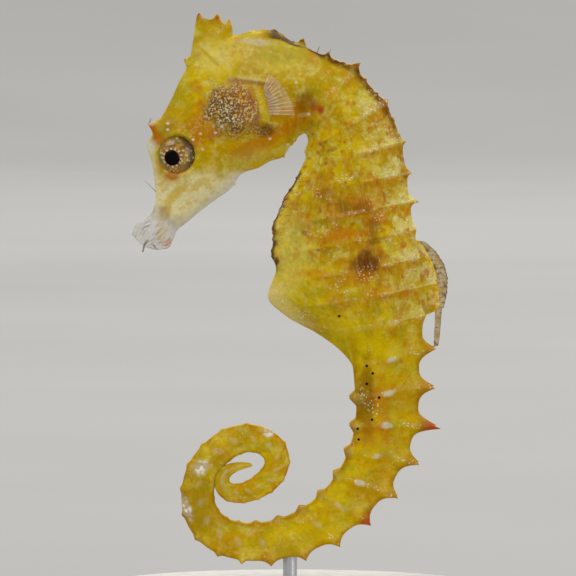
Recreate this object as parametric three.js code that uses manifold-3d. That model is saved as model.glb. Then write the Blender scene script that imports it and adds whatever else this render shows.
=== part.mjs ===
// A dwarf seahorse at life size, its tail rolled into a coil, held by a small display stand.
// Millimetres, +Z up. The fish faces -X and its left side looks to -Y.
// The body is one long form: a midline from the lips to the tip of the tail, bent in one upright
// plane, with a cross-section across it at every place. Thin cuts part it into its lengths.
import * as THREE from 'three';
import { mergeVertices } from 'three/addons/utils/BufferGeometryUtils.js';
import Module from 'manifold-3d';

const wasm = await Module();
wasm.setup();

// ---------------------------------------------------------------- driving dimensions, mm, degrees

const CUT = 0.16;                       // width of the thin cuts between neighbouring pieces
const MOUTH = { x: -7.26, z: 19.03, at: -0.4 };   // start of the midline; places count from the lower lip
const TIP = 55;                         // place of the tail's tip

// Heading of the midline at places along it: 0 is towards +X, 90 is up.
const BENDS = [
  { place: 'mouth', at: MOUTH.at, heading: 50 },
  { place: 'lower lip', at: 0, heading: 50 },
  { place: 'snout', at: 2.5, heading: 64 },
  { place: 'eye', at: 5, heading: 59 },
  { place: 'gill cover', at: 8, heading: 38.5 },
  { place: 'nape', at: 11, heading: 1 },
  { place: 'shoulder', at: 13.5, heading: -55.5 },
  { place: 'breast', at: 17, heading: -79 },
  { place: 'vent', at: 24, heading: -80.5 },
  { place: 'tail root', at: 29, heading: -98.5 },
  { place: 'tail hangs', at: 33, heading: -125.5 },
  { place: 'tail sweeps', at: 37, heading: -159.5 },
  { place: 'tail turns up', at: 40, heading: -190.5 },
  { place: 'coil side', at: 43, heading: -265 },
  { place: 'coil shoulder', at: 46, heading: -323.5 },
  { place: 'coil top', at: 48.5, heading: -400 },
  { place: 'inner side', at: 50.5, heading: -500 },
  { place: 'inner floor', at: 52.3, heading: -545.5 },
  { place: 'tip hook', at: 54, heading: -694 },
  { place: 'tip', at: TIP, heading: -720 },
];

// The cross-sections lean forward round the chin, so that they fan out from the throat's corner.
const NECK_LEAN = { at: 13.3, reach: 2.4, angle: 15 };

// Size of the body across its midline: up the back, down the belly, and out to one side.
const GIRTHS = [
  { place: 'mouth', at: MOUTH.at, back: 0.86, belly: 0.2, side: 0.32 },
  { place: 'lips', at: -0.15, back: 1.0, belly: 0.64, side: 0.44 },
  { place: 'lower lip', at: 0.2, back: 0.98, belly: 0.94, side: 0.5 },
  { place: 'chin of the lips', at: 0.5, back: 0.88, belly: 0.98, side: 0.52 },
  { place: 'snout', at: 1.1, back: 0.76, belly: 0.82, side: 0.5 },
  { place: 'snout middle', at: 1.7, back: 0.84, belly: 1.04, side: 0.55 },
  { place: 'snout root', at: 2.5, back: 1.22, belly: 1.42, side: 0.66 },
  { place: 'below the eye', at: 3.3, back: 1.78, belly: 1.82, side: 0.88 },
  { place: 'eye', at: 4.2, back: 2.42, belly: 2.22, side: 1.08 },
  { place: 'brow', at: 5.1, back: 2.6, belly: 2.3, side: 1.16 },
  { place: 'forehead', at: 6.2, back: 2.74, belly: 2.88, side: 1.34 },
  { place: 'gill cover', at: 7.2, back: 3.12, belly: 3.1, side: 1.5 },
  { place: 'crown', at: 8.3, back: 3.4, belly: 3.34, side: 1.44 },
  { place: 'back of the crown', at: 9.3, back: 3.2, belly: 3.2, side: 1.32 },
  { place: 'nape', at: 10.0, back: 3.08, belly: 3.02, side: 1.25 },
  { place: 'neck', at: 11.2, back: 2.26, belly: 2.8, side: 1.2 },
  { place: 'chin', at: 12.2, back: 1.84, belly: 2.32, side: 1.23 },
  { place: 'throat corner', at: 13.2, back: 2.04, belly: 2.04, side: 1.28 },
  { place: 'shoulder', at: 14.1, back: 2.14, belly: 2.34, side: 1.34 },
  { place: 'breast', at: 15.4, back: 2.38, belly: 2.44, side: 1.44 },
  { place: 'ribs', at: 16.8, back: 2.36, belly: 3.3, side: 1.55 },
  { place: 'belly', at: 18.4, back: 2.26, belly: 4.5, side: 1.72 },
  { place: 'keel', at: 19.9, back: 2.2, belly: 4.96, side: 1.86 },
  { place: 'vent', at: 20.9, back: 2.2, belly: 5.0, side: 1.9 },
  { place: 'pouch', at: 22.3, back: 2.1, belly: 5.66, side: 1.85 },
  { place: 'pouch foot', at: 23.4, back: 2.0, belly: 4.92, side: 1.74 },
  { place: 'last trunk ring', at: 24.5, back: 1.86, belly: 3.6, side: 1.55 },
  { place: 'first tail ring', at: 25.6, back: 1.7, belly: 2.66, side: 1.34 },
  { place: 'tail root', at: 26.8, back: 1.44, belly: 2.02, side: 1.18 },
  { place: 'tail', at: 29, back: 1.48, belly: 1.58, side: 1.08 },
  { place: 'tail hangs', at: 33, back: 1.26, belly: 1.22, side: 0.9 },
  { place: 'tail sweeps', at: 37, back: 1.02, belly: 0.98, side: 0.72 },
  { place: 'tail turns up', at: 41, back: 0.92, belly: 0.82, side: 0.62 },
  { place: 'coil side', at: 44, back: 0.88, belly: 0.7, side: 0.57 },
  { place: 'coil shoulder', at: 46, back: 0.73, belly: 0.72, side: 0.51 },
  { place: 'coil top', at: 48.5, back: 0.69, belly: 0.58, side: 0.46 },
  { place: 'inner side', at: 50.2, back: 0.5, belly: 0.68, side: 0.42 },
  { place: 'inner floor', at: 52, back: 0.52, belly: 0.44, side: 0.35 },
  { place: 'tip hook', at: 53.4, back: 0.38, belly: 0.32, side: 0.26 },
  { place: 'near the tip', at: 54.6, back: 0.18, belly: 0.16, side: 0.14 },
  { place: 'tip', at: TIP, back: 0.1, belly: 0.1, side: 0.1 },
];

const COIL_SHIFT = { from: 46.5, to: 52, y: -0.3 };       // the inner turn stands out to the left
const EYE_LEVEL = { at: 4.4, reach: 2.4, amount: 0.38 };  // the head is widest high up at the eyes
const HEAD_FLANK = 0.86;                                  // flatter flanks than an ellipse, which has 1
const TO_TRUNK = { from: 9.6, to: 13 };                   // where the sections change from head to trunk
const TO_TAIL = { from: 24, to: 28 };                     // and from trunk to tail

// Bony rings: the place of the first one, how many there are, and their spacing.
const INNER_PITCH = 0.62;
const RING_RUNS = [
  { first: 10.55, count: 3, pitch: 0.8, shrink: 0 },
  { first: 13.1, count: 9, pitch: 1.425, shrink: 0 },
  { first: 26.05, count: 9, pitch: 1.66, shrink: 0.03 },
  { first: 39.7, count: 9, pitch: 0.95, shrink: 0 },
  { first: 48.2, count: 8, pitch: INNER_PITCH, shrink: 0 },
];
const HEAD_STEP = 0.5;             // spacing of the sections of the head, which has no rings
const LAST_LOOP = 54.65;
const RING_SWELL = 0.035;         // how much a ring's crest is thicker than the groove beside it
const SHOULDER = 0.2;             // half the width of a crest, as a share of the ring's spacing
const SHOULDER_SWELL = 0.6;       // how far a crest's shoulders swell, as a share of the crest
const TAIL_START = 23.8;
const LONG_SPINES = [3];          // which rings of the tail carry them

// Spines, from the ridge to their tips. Those of the tail grow shorter along it.
const BACK_SPINES = [0.1, 0.26, 0.14, 0.38, 0.18, 0.2, 0.24, 0.4, 0.12, 0.12, 0.12];   // down the trunk
const TAIL_SPINES = [
  { place: 'last trunk ring', at: 24.5, length: 0.24 },
  { place: 'tail root', at: 26, length: 0.8 },
  { place: 'tail', at: 27.7, length: 0.9 },
  { place: 'tail hangs', at: 31, length: 0.87 },
  { place: 'tail bends', at: 34, length: 0.6 },
  { place: 'tail sweeps', at: 37, length: 0.45 },
  { place: 'tail turns up', at: 41, length: 0.14 },
  { place: 'coil shoulder', at: 46, length: 0.08 },
  { place: 'inner side', at: 50, length: 0.12 },
  { place: 'near the tip', at: 54, length: 0.03 },
];
const LONG_SPINE = 1.6;           // the long ones, as a share of those
const BELLY_KNOB = 0.5;           // at the tail's root, and less along it in step with its girth
const SIDE_KNOB = 0.12;
const BROW_SPINE = { at: 5.0, length: 0.7 };
const FOREHEAD_SPINE = { at: 7.55, length: 0.4 };
const NOSE_SPINE = { at: 4.0, length: 0.2 };

const EYE = { at: 4.4, up: 1.0, out: 0.8, radius: 0.93, depth: 0.5, clearance: 0.12 };

const PIECES = [
  { name: 'snout', from: MOUTH.at, to: 2.9 },
  { name: 'head', from: 2.9, to: 10.15 },
  { name: 'neck', from: 10.15, to: 12.72 },
  { name: 'trunk_upper', from: 12.72, to: 16.66 },
  { name: 'trunk_middle', from: 16.66, to: 20.94 },
  { name: 'trunk_lower', from: 20.94, to: TAIL_START },
  { name: 'tail_1', from: TAIL_START, to: 28.28 },
  { name: 'tail_2', from: 28.28, to: 33.05 },
  { name: 'tail_3', from: 33.05, to: 38.92 },
  { name: 'tail_4', from: 38.92, to: 41.93 },
  { name: 'tail_5', from: 41.93, to: 45.73 },
  { name: 'tail_6', from: 45.73, to: 48.42 },
  { name: 'tail_7', from: 48.42, to: 50.89 },
  { name: 'tail_8', from: 50.89, to: TIP },
];

// The brood pouch lies below a slanted plane that runs from the vent down to the first tail rings.
const POUCH = { from: 20.94, to: 27.2, top: { x: -0.95, z: 18.35 }, foot: { x: 3.1, z: 13.32 }, reach: 3 };

// Dorsal fin, by place along the midline and height over it: front, round margin, last ray, base.
const DORSAL_FIN = {
  thickness: 0.5,
  margin: [[20.7, 2.1], [21.1, 2.86], [21.7, 3.32], [22.6, 3.5], [23.7, 3.46], [24.9, 3.04], [26.0, 2.8]],
  lastRay: [[25.95, 2.52], [24.6, 2.78], [23.92, 2.6]],
  base: [[23.9, 1.4], [20.8, 1.4]],
};

// Pectoral fin: a fan on a short root behind the gill cover.
const PECTORAL = {
  at: 9.66, up: -0.62, out: 1.36, rootHalf: 0.5, length: 1.25, tall: 1.35, spread: 72, aim: 38, flare: 16,
  thickness: 0.5, rays: 12,
};

// Coronet: levels from the crown up to the rim, then five points.
const CORONET = {
  levels: [
    { x: -3.8, z: 28.55, tilt: 17, along: 1.28, across: 0.66 },
    { x: -3.86, z: 29.2, tilt: 12, along: 1.18, across: 0.58 },
    { x: -3.92, z: 29.7, tilt: 0, along: 1.06, across: 0.54 },
    { x: -3.92, z: 30.02, tilt: -9, along: 1.04, across: 0.62 },
  ],
  points: 5,
  tips: { x: -3.68, z: 30.0, tilt: -9, along: 0.9, across: 0.72 },
  rise: 0.5,
  notch: 0.8,     // how far the rim draws in between two points
};

const STAND = { radius: 9, thickness: 2.2, chamfer: 0.25, rod: 0.35, rodTop: 4.3, sides: 72, rodSides: 24 };

const DOME = 0.1;        // how far the lips and the tail's tip bulge out
const WELD = 1e-5;       // corners closer than this are one

// ---------------------------------------------------------------- colours

const COLOURS = {
  skin: { color: 0xb9a017, roughness: 0.45, metalness: 0 },
  snout: { color: 0xc6b878, roughness: 0.4, metalness: 0 },
  fin: { color: 0xcdb98a, roughness: 0.45, metalness: 0 },
  eye: { color: 0x5a4a1c, roughness: 0.1, metalness: 0 },
  base: { color: 0xd8d5cf, roughness: 0.5, metalness: 0 },
  rod: { color: 0xb9bcc0, roughness: 0.3, metalness: 1 },
};

// ---------------------------------------------------------------- curves through named places

// A smooth curve through the stations' values that doesn't swing past them.
function through(stations, key) {
  const at = stations.map((station) => station.at);
  const value = stations.map((station) => station[key]);
  const slope = [];
  for (let i = 0; i + 1 < at.length; i += 1) {
    slope.push((value[i + 1] - value[i]) / (at[i + 1] - at[i]));
  }
  const bend = value.map((_, i) => {
    if (i === 0) return slope[0];
    if (i === at.length - 1) return slope[i - 1];
    if (slope[i - 1] * slope[i] <= 0) return 0;
    const before = at[i] - at[i - 1];
    const after = at[i + 1] - at[i];
    const first = 2 * after + before;
    const second = after + 2 * before;
    return (first + second) / (first / slope[i - 1] + second / slope[i]);
  });
  return (s) => {
    const place = THREE.MathUtils.clamp(s, at[0], at[at.length - 1]);
    let i = 0;
    while (i < at.length - 2 && place > at[i + 1]) i += 1;
    const width = at[i + 1] - at[i];
    const t = (place - at[i]) / width;
    const rise = t * t * (3 - 2 * t);
    const leave = t * (1 - t) * (1 - t) * width;
    const arrive = t * t * (1 - t) * width;
    return value[i] * (1 - rise) + value[i + 1] * rise + bend[i] * leave - bend[i + 1] * arrive;
  };
}

// 1 at the hump's place, falling smoothly to 0 at its reach.
function hump(s, at, reach) {
  const t = Math.min(1, Math.abs(s - at) / reach);
  return Math.cos((Math.PI / 2) * t) ** 2;
}

const heading = through(BENDS, 'heading');
const girth = {
  back: through(GIRTHS, 'back'),
  belly: through(GIRTHS, 'belly'),
  side: through(GIRTHS, 'side'),
};

// ---------------------------------------------------------------- midline and sections

const STEP = 0.02;
const midline = [new THREE.Vector3(MOUTH.x, 0, MOUTH.z)];
for (let s = MOUTH.at + STEP / 2; s < TIP; s += STEP) {
  const turn = THREE.MathUtils.degToRad(heading(s));
  const last = midline[midline.length - 1];
  midline.push(new THREE.Vector3(last.x + STEP * Math.cos(turn), 0, last.z + STEP * Math.sin(turn)));
}

function midpoint(s) {
  const step = THREE.MathUtils.clamp((s - MOUTH.at) / STEP, 0, midline.length - 1.001);
  const i = Math.floor(step);
  const point = midline[i].clone().lerp(midline[i + 1], step - i);
  point.y = COIL_SHIFT.y * THREE.MathUtils.smoothstep(s, COIL_SHIFT.from, COIL_SHIFT.to);
  return point;
}

// A point beside the midline: up towards the back, and out towards the left side.
function beside(s, up, left) {
  const lean = NECK_LEAN.angle * hump(s, NECK_LEAN.at, NECK_LEAN.reach);
  const turn = THREE.MathUtils.degToRad(heading(s) + lean);
  const centre = midpoint(s);
  return new THREE.Vector3(centre.x - Math.sin(turn) * up, centre.y - left, centre.z + Math.cos(turn) * up);
}

// Half a cross-section, from the middle of the back to the middle of the belly.
// Each place is a share of the body's height over or under the midline and of its half width.
const TRUNK_HALF = [
  [0.86, 0], [0.9, 0.2], [1, 0.4],
  [0.6, 0.74], [0.16, 1], [-0.16, 0.86],
  [-0.5, 0.74], [-0.78, 0.34], [-1, 0],
];
const TAIL_HALF = [
  [0.88, 0], [0.91, 0.36], [1, 0.76],
  [0.5, 0.88], [0, 1], [-0.5, 0.9],
  [-1, 0.74], [-0.91, 0.36], [-0.88, 0],
];
const HALF_STEPS = TRUNK_HALF.length - 1;
const ROUND = 2 * HALF_STEPS;     // points in a whole section, the left half first
const SUPERIOR = [2, ROUND - 2];  // places of the ridges in the section, left and right
const LATERAL = [4, ROUND - 4];
const INFERIOR = [6, ROUND - 6];

function headHalf(i, s) {
  const turn = (Math.PI * i) / HALF_STEPS;
  const lifted = turn + EYE_LEVEL.amount * hump(s, EYE_LEVEL.at, EYE_LEVEL.reach) * Math.sin(turn);
  return [Math.cos(turn), Math.sin(lifted) ** HEAD_FLANK];
}

function halfSection(i, s) {
  const trunk = THREE.MathUtils.smoothstep(s, TO_TRUNK.from, TO_TRUNK.to);
  const tail = THREE.MathUtils.smoothstep(s, TO_TAIL.from, TO_TAIL.to);
  const head = headHalf(i, s);
  return [0, 1].map((k) => {
    const front = head[k] * (1 - trunk) + TRUNK_HALF[i][k] * trunk;
    return front * (1 - tail) + TAIL_HALF[i][k] * tail;
  });
}

// ---------------------------------------------------------------- rings and spines

const rings = [];
for (const run of RING_RUNS) {
  let at = run.first;
  for (let i = 0; i < run.count; i += 1) {
    rings.push({ at });
    at += run.pitch - run.shrink * i;
  }
}
rings.forEach((ring, i) => {
  const next = rings[i + 1] ?? { at: ring.at + INNER_PITCH };
  ring.pitch = next.at - ring.at;
});

function spines(length, places) {
  return Object.fromEntries(places.map((place) => [place, length]));
}

// The knobs under the tail stand half a ring behind its spines.
const tailSpine = through(TAIL_SPINES, 'length');
const firstOnTail = rings.findIndex((ring) => ring.at > TAIL_START);
rings.forEach((ring, i) => {
  const number = i - firstOnTail;
  if (number < 0) {
    ring.crest = { ...spines(BACK_SPINES[i], SUPERIOR), ...spines(SIDE_KNOB, [...LATERAL, ...INFERIOR]) };
    ring.groove = {};
  } else {
    const size = girth.belly(ring.at) / girth.belly(rings[firstOnTail + 1].at);
    const length = tailSpine(ring.at) * (LONG_SPINES.includes(number) ? LONG_SPINE : 1);
    ring.crest = { ...spines(length, SUPERIOR), ...spines(SIDE_KNOB * size, LATERAL) };
    ring.groove = number > 1 ? spines(BELLY_KNOB * size, INFERIOR) : {};
  }
});

// Loops across the body: at every crest, at its two shoulders, and in the groove after it.
const LOOPS = [];
for (const ring of rings) {
  LOOPS.push({ at: ring.at - SHOULDER * ring.pitch, swell: SHOULDER_SWELL, spines: {} });
  LOOPS.push({ at: ring.at, swell: 1, spines: ring.crest });
  LOOPS.push({ at: ring.at + SHOULDER * ring.pitch, swell: SHOULDER_SWELL, spines: {} });
  LOOPS.push({ at: ring.at + ring.pitch / 2, swell: 0, spines: ring.groove });
}
for (let s = 0; s < rings[0].at - HEAD_STEP; s += HEAD_STEP) {
  LOOPS.push({ at: s, swell: 0, spines: {} });
}
LOOPS.push({ at: FOREHEAD_SPINE.at, swell: 0, spines: { 0: FOREHEAD_SPINE.length } });
LOOPS.find((loop) => loop.at === BROW_SPINE.at).spines = spines(BROW_SPINE.length, [1, ROUND - 1]);
LOOPS.find((loop) => loop.at === NOSE_SPINE.at).spines = spines(NOSE_SPINE.length, [0]);
LOOPS.push({ at: LAST_LOOP, swell: 0, spines: {} });
LOOPS.sort((a, b) => a.at - b.at);

// The closed outline of the body across its midline, with the ridges' spines drawn out.
function outline(loop, grow = 0) {
  const s = loop.at;
  const scale = 1 + RING_SWELL * (loop.swell - 0.5);
  const points = [];
  for (let k = 0; k < ROUND; k += 1) {
    const left = k <= HALF_STEPS;
    const i = left ? k : ROUND - k;
    const [u, v] = halfSection(i, s);
    const up = u * (u > 0 ? girth.back(s) : girth.belly(s)) * scale;
    const out = v * girth.side(s) * scale * (left ? 1 : -1);
    const drawn = 1 + ((loop.spines[k] ?? 0) + grow) / Math.hypot(up, out);
    points.push(beside(s, up * drawn, out * drawn));
  }
  return points;
}

// ---------------------------------------------------------------- solids

function volume(positions, index) {
  const corner = [new THREE.Vector3(), new THREE.Vector3(), new THREE.Vector3()];
  let sum = 0;
  for (let i = 0; i < index.length; i += 3) {
    corner.forEach((point, k) => point.fromArray(positions, 3 * index[i + k]));
    sum += corner[0].dot(corner[1].clone().cross(corner[2]));
  }
  return sum;
}

function middleOf(loop) {
  return loop.reduce((sum, point) => sum.add(point), new THREE.Vector3()).divideScalar(loop.length);
}

// One closed body through loops of equal length, with a flat or domed end on each side.
function loft(loops, dome = [0, 0]) {
  const count = loops[0].length;
  const points = loops.flat();
  const index = [];
  for (let j = 0; j + 1 < loops.length; j += 1) {
    for (let k = 0; k < count; k += 1) {
      const a = j * count + k;
      const b = j * count + ((k + 1) % count);
      index.push(a, b, b + count, a, b + count, a + count);
    }
  }
  [[0, 1, 0], [loops.length - 1, loops.length - 2, 1]].forEach(([end, next, side]) => {
    const centre = middleOf(loops[end]);
    const outward = centre.clone().sub(middleOf(loops[next])).setLength(dome[side]);
    points.push(centre.add(outward));
    for (let k = 0; k < count; k += 1) {
      const a = end * count + k;
      const b = end * count + ((k + 1) % count);
      if (side === 0) index.push(b, a, points.length - 1);
      else index.push(a, b, points.length - 1);
    }
  });
  const positions = points.flatMap((point) => point.toArray());
  if (volume(positions, index) < 0) index.reverse();
  const geometry = new THREE.BufferGeometry();
  geometry.setAttribute('position', new THREE.Float32BufferAttribute(positions, 3));
  geometry.setIndex(index);
  return geometry;
}

function solid(source) {
  const bare = source.clone();
  bare.deleteAttribute('normal');
  bare.deleteAttribute('uv');
  const merged = mergeVertices(bare, WELD);
  return new wasm.Manifold(new wasm.Mesh({
    numProp: 3,
    vertProperties: new Float32Array(merged.attributes.position.array),
    triVerts: new Uint32Array(merged.index.array),
  }));
}

function geometryOf(body) {
  const mesh = body.getMesh();
  const geometry = new THREE.BufferGeometry();
  geometry.setAttribute('position', new THREE.BufferAttribute(new Float32Array(mesh.vertProperties), 3));
  geometry.setIndex(Array.from(mesh.triVerts));
  return geometry;
}

// The length of body between two places, drawn in by half a cut at both ends.
function bodyLength(from, to, grow = 0, cut = CUT) {
  const start = from === MOUTH.at ? from : from + cut / 2;
  const end = to === TIP ? TIP : to - cut / 2;
  const between = LOOPS.filter((loop) => loop.at > start + CUT / 4 && loop.at < end - CUT / 4);
  const all = [{ at: start, swell: 0, spines: {} }, ...between, { at: end, swell: 0, spines: {} }];
  return loft(all.map((loop) => outline(loop, grow)), [from === MOUTH.at ? DOME : 0, to === TIP ? DOME : 0]);
}

// A block that holds the pouch; a positive shift moves its inner face towards the belly.
function pouchBlock(shift) {
  const run = new THREE.Vector3(POUCH.foot.x - POUCH.top.x, 0, POUCH.foot.z - POUCH.top.z);
  const length = run.length() + POUCH.reach;
  run.normalize();
  const outward = new THREE.Vector3(run.z, 0, -run.x);
  const block = new THREE.BoxGeometry(length, 2 * POUCH.reach, POUCH.reach);
  block.translate(length / 2 - POUCH.reach, 0, -POUCH.reach / 2 - shift);
  const inward = outward.clone().negate();
  block.applyMatrix4(new THREE.Matrix4().makeBasis(run, new THREE.Vector3(0, 1, 0), inward));
  block.translate(POUCH.top.x, 0, POUCH.top.z);
  return solid(block);
}

// ---------------------------------------------------------------- the animal's pieces

function eyeBall(side, grow = 0) {
  const ball = new THREE.SphereGeometry(1, 20, 12);
  ball.rotateX(Math.PI / 2);
  ball.scale(EYE.radius + grow, EYE.depth + grow, EYE.radius + grow);
  const place = beside(EYE.at, EYE.up, side * EYE.out);
  ball.translate(place.x, place.y, place.z);
  return ball;
}

function head(piece) {
  let body = solid(bodyLength(piece.from, piece.to));
  for (const side of [1, -1]) {
    body = body.subtract(solid(eyeBall(side, EYE.clearance)));
  }
  return geometryOf(body);
}

function coronet() {
  const sides = 2 * CORONET.points;
  const ringAt = (level, lift) => Array.from({ length: sides }, (_, k) => {
    const turn = Math.PI + (2 * Math.PI * k) / sides;
    const tilt = THREE.MathUtils.degToRad(level.tilt);
    const share = lift && k % 2 === 1 ? CORONET.notch : 1;
    const up = lift && k % 2 === 0 ? CORONET.rise : 0;
    const along = level.along * share * Math.cos(turn);
    return new THREE.Vector3(
      level.x + along * Math.cos(tilt) - up * Math.sin(tilt),
      level.across * share * Math.sin(turn),
      level.z + along * Math.sin(tilt) + up * Math.cos(tilt),
    );
  });
  const loops = CORONET.levels.map((level) => ringAt(level, false));
  loops.push(ringAt(CORONET.tips, true));
  const crown = solid(bodyLength(7, 10, CUT));
  return geometryOf(solid(loft(loops)).subtract(crown));
}

function finPlate(points, thickness) {
  const shape = new THREE.Shape(points.map((point) => new THREE.Vector2(point.x, point.z)));
  const plate = new THREE.ExtrudeGeometry(shape, { depth: thickness, bevelEnabled: false });
  plate.translate(0, 0, -thickness / 2);
  plate.rotateX(Math.PI / 2);
  return plate;
}

function dorsalFin() {
  const around = [...DORSAL_FIN.margin, ...DORSAL_FIN.lastRay, ...DORSAL_FIN.base];
  const points = around.map(([s, up]) => beside(s, up, 0));
  const plate = solid(finPlate(points, DORSAL_FIN.thickness));
  const back = solid(bodyLength(19, 27.5, CUT));
  return geometryOf(plate.subtract(back));
}

function pectoralFin(side) {
  const { length, tall, rays, spread } = PECTORAL;
  const points = [new THREE.Vector3(0, 0, -PECTORAL.rootHalf), new THREE.Vector3(0, 0, PECTORAL.rootHalf)];
  for (let i = rays; i >= 0; i -= 1) {
    const turn = THREE.MathUtils.degToRad(spread * (i / rays - 0.5));
    points.push(new THREE.Vector3(length * Math.cos(turn), 0, tall * length * Math.sin(turn)));
  }
  const plate = finPlate(points, PECTORAL.thickness);
  plate.rotateZ(-side * THREE.MathUtils.degToRad(PECTORAL.flare));
  plate.rotateY(-THREE.MathUtils.degToRad(PECTORAL.aim));
  const place = beside(PECTORAL.at, PECTORAL.up, side * PECTORAL.out);
  plate.translate(place.x, place.y, place.z);
  return geometryOf(solid(plate).subtract(solid(bodyLength(7, 13.1, CUT))));
}

// ---------------------------------------------------------------- stand

function standBase() {
  const { radius, thickness, chamfer, sides } = STAND;
  const profile = [
    [0, 0], [radius - chamfer, 0], [radius, chamfer], [radius, thickness - chamfer],
    [radius - chamfer, thickness], [0, thickness],
  ];
  const disc = new THREE.LatheGeometry(profile.map(([r, z]) => new THREE.Vector2(r, z)), sides);
  disc.rotateX(Math.PI / 2);
  return disc;
}

function rodSolid(bottom, top, radius) {
  const rod = new THREE.CylinderGeometry(radius, radius, top - bottom, STAND.rodSides);
  rod.rotateX(Math.PI / 2);
  rod.translate(0, 0, (top + bottom) / 2);
  return rod;
}

// ---------------------------------------------------------------- assembly

const model = new THREE.Group();

function add(name, geometry, look) {
  const mesh = new THREE.Mesh(geometry, new THREE.MeshStandardMaterial(look));
  mesh.name = name;
  model.add(mesh);
}

for (const piece of PIECES) {
  const look = piece.name === 'snout' ? COLOURS.snout : COLOURS.skin;
  if (piece.name === 'head') {
    add(piece.name, head(piece), look);
  } else if (piece.name === 'trunk_lower' || piece.name === 'tail_1') {
    add(piece.name, geometryOf(solid(bodyLength(piece.from, piece.to)).subtract(pouchBlock(-CUT / 2))), look);
  } else if (piece.name === 'tail_3') {
    const socket = rodSolid(0, STAND.rodTop + CUT, STAND.rod + CUT / 2);
    add(piece.name, geometryOf(solid(bodyLength(piece.from, piece.to)).subtract(solid(socket))), look);
  } else {
    add(piece.name, bodyLength(piece.from, piece.to), look);
  }
}
const pouch = solid(bodyLength(POUCH.from, POUCH.to)).intersect(pouchBlock(CUT / 2));
add('brood_pouch', geometryOf(pouch), COLOURS.skin);
add('coronet', coronet(), COLOURS.skin);
add('eye_left', eyeBall(1), COLOURS.eye);
add('eye_right', eyeBall(-1), COLOURS.eye);
add('dorsal_fin', dorsalFin(), COLOURS.fin);
add('pectoral_fin_left', pectoralFin(1), COLOURS.fin);
add('pectoral_fin_right', pectoralFin(-1), COLOURS.fin);
add('stand_base', standBase(), COLOURS.base);
add('stand_rod', rodSolid(STAND.thickness + CUT, STAND.rodTop, STAND.rod), COLOURS.rod);

export default model;
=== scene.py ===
# A dwarf seahorse at life size, its tail rolled into a coil, on a small display stand.
# Every shape is worked out in millimetres and brought to metres when its piece is finished.
# +Z is up, the fish faces -X, and its left side looks to -Y.
import math

import bpy
import numpy as np
from mathutils import Matrix, Vector


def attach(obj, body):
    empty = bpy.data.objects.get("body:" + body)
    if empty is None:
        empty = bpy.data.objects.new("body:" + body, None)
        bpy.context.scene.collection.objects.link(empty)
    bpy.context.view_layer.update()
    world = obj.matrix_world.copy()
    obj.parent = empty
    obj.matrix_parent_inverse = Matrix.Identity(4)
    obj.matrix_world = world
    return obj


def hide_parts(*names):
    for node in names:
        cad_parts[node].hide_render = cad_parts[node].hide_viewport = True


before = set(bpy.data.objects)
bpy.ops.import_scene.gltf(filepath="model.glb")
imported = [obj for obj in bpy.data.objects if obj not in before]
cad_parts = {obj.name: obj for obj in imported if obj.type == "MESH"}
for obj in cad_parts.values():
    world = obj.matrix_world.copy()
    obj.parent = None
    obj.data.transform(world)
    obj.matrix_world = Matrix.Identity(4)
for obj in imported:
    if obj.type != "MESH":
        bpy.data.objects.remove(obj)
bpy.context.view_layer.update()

MM = 0.001

# -------- the animal's measures, mm and degrees

MOUTH = (-7.26, 19.03)     # x and z where the midline starts
LIPS = -0.4                # place of that start; places count along the midline from the lower lip
TIP = 55.0                 # place of the tail's tip

# Heading of the midline at its places: 0 is towards +X, 90 is up.
HEADINGS = [
    (-0.4, 50), (0, 50), (2.5, 64), (5, 59), (8, 38.5), (11, 1), (13.5, -55.5), (17, -79), (24, -80.5),
    (29, -98.5), (33, -125.5), (37, -159.5), (40, -190.5), (43, -265), (46, -323.5), (48.5, -400),
    (50.5, -500), (52.3, -545.5), (54, -694), (55, -720),
]

# Place, then the body's size from its midline: up the back, down the belly, out to one side.
GIRTHS = [
    (-0.4, 0.86, 0.2, 0.32), (-0.15, 1.0, 0.64, 0.44), (0.2, 0.98, 0.94, 0.5), (0.5, 0.88, 0.98, 0.52),
    (1.1, 0.76, 0.82, 0.5), (1.7, 0.84, 1.04, 0.55), (2.5, 1.22, 1.42, 0.66), (3.3, 1.78, 1.82, 0.88),
    (4.2, 2.42, 2.22, 1.08), (5.1, 2.6, 2.3, 1.16), (6.2, 2.74, 2.88, 1.34), (7.2, 3.12, 3.1, 1.5),
    (8.3, 3.4, 3.34, 1.44), (9.3, 3.2, 3.2, 1.32), (10.0, 3.08, 3.02, 1.25), (11.2, 2.26, 2.8, 1.2),
    (12.2, 1.84, 2.32, 1.23), (13.2, 2.04, 2.04, 1.28), (14.1, 2.14, 2.34, 1.34), (15.4, 2.38, 2.44, 1.44),
    (16.8, 2.36, 3.3, 1.55), (18.4, 2.26, 4.5, 1.72), (19.9, 2.2, 4.96, 1.86), (20.9, 2.2, 5.0, 1.9),
    (22.3, 2.1, 5.66, 1.85), (23.4, 2.0, 4.92, 1.74), (24.5, 1.86, 3.6, 1.55), (25.6, 1.7, 2.66, 1.34),
    (26.8, 1.44, 2.02, 1.18), (29, 1.48, 1.58, 1.08), (33, 1.26, 1.22, 0.9), (37, 1.02, 0.98, 0.72),
    (41, 0.92, 0.82, 0.62), (44, 0.88, 0.7, 0.57), (46, 0.73, 0.72, 0.51), (48.5, 0.69, 0.58, 0.46),
    (50.2, 0.5, 0.68, 0.42), (52, 0.52, 0.44, 0.35), (53.4, 0.38, 0.32, 0.26), (54.6, 0.18, 0.16, 0.14),
    (55, 0.1, 0.1, 0.1),
]

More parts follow.
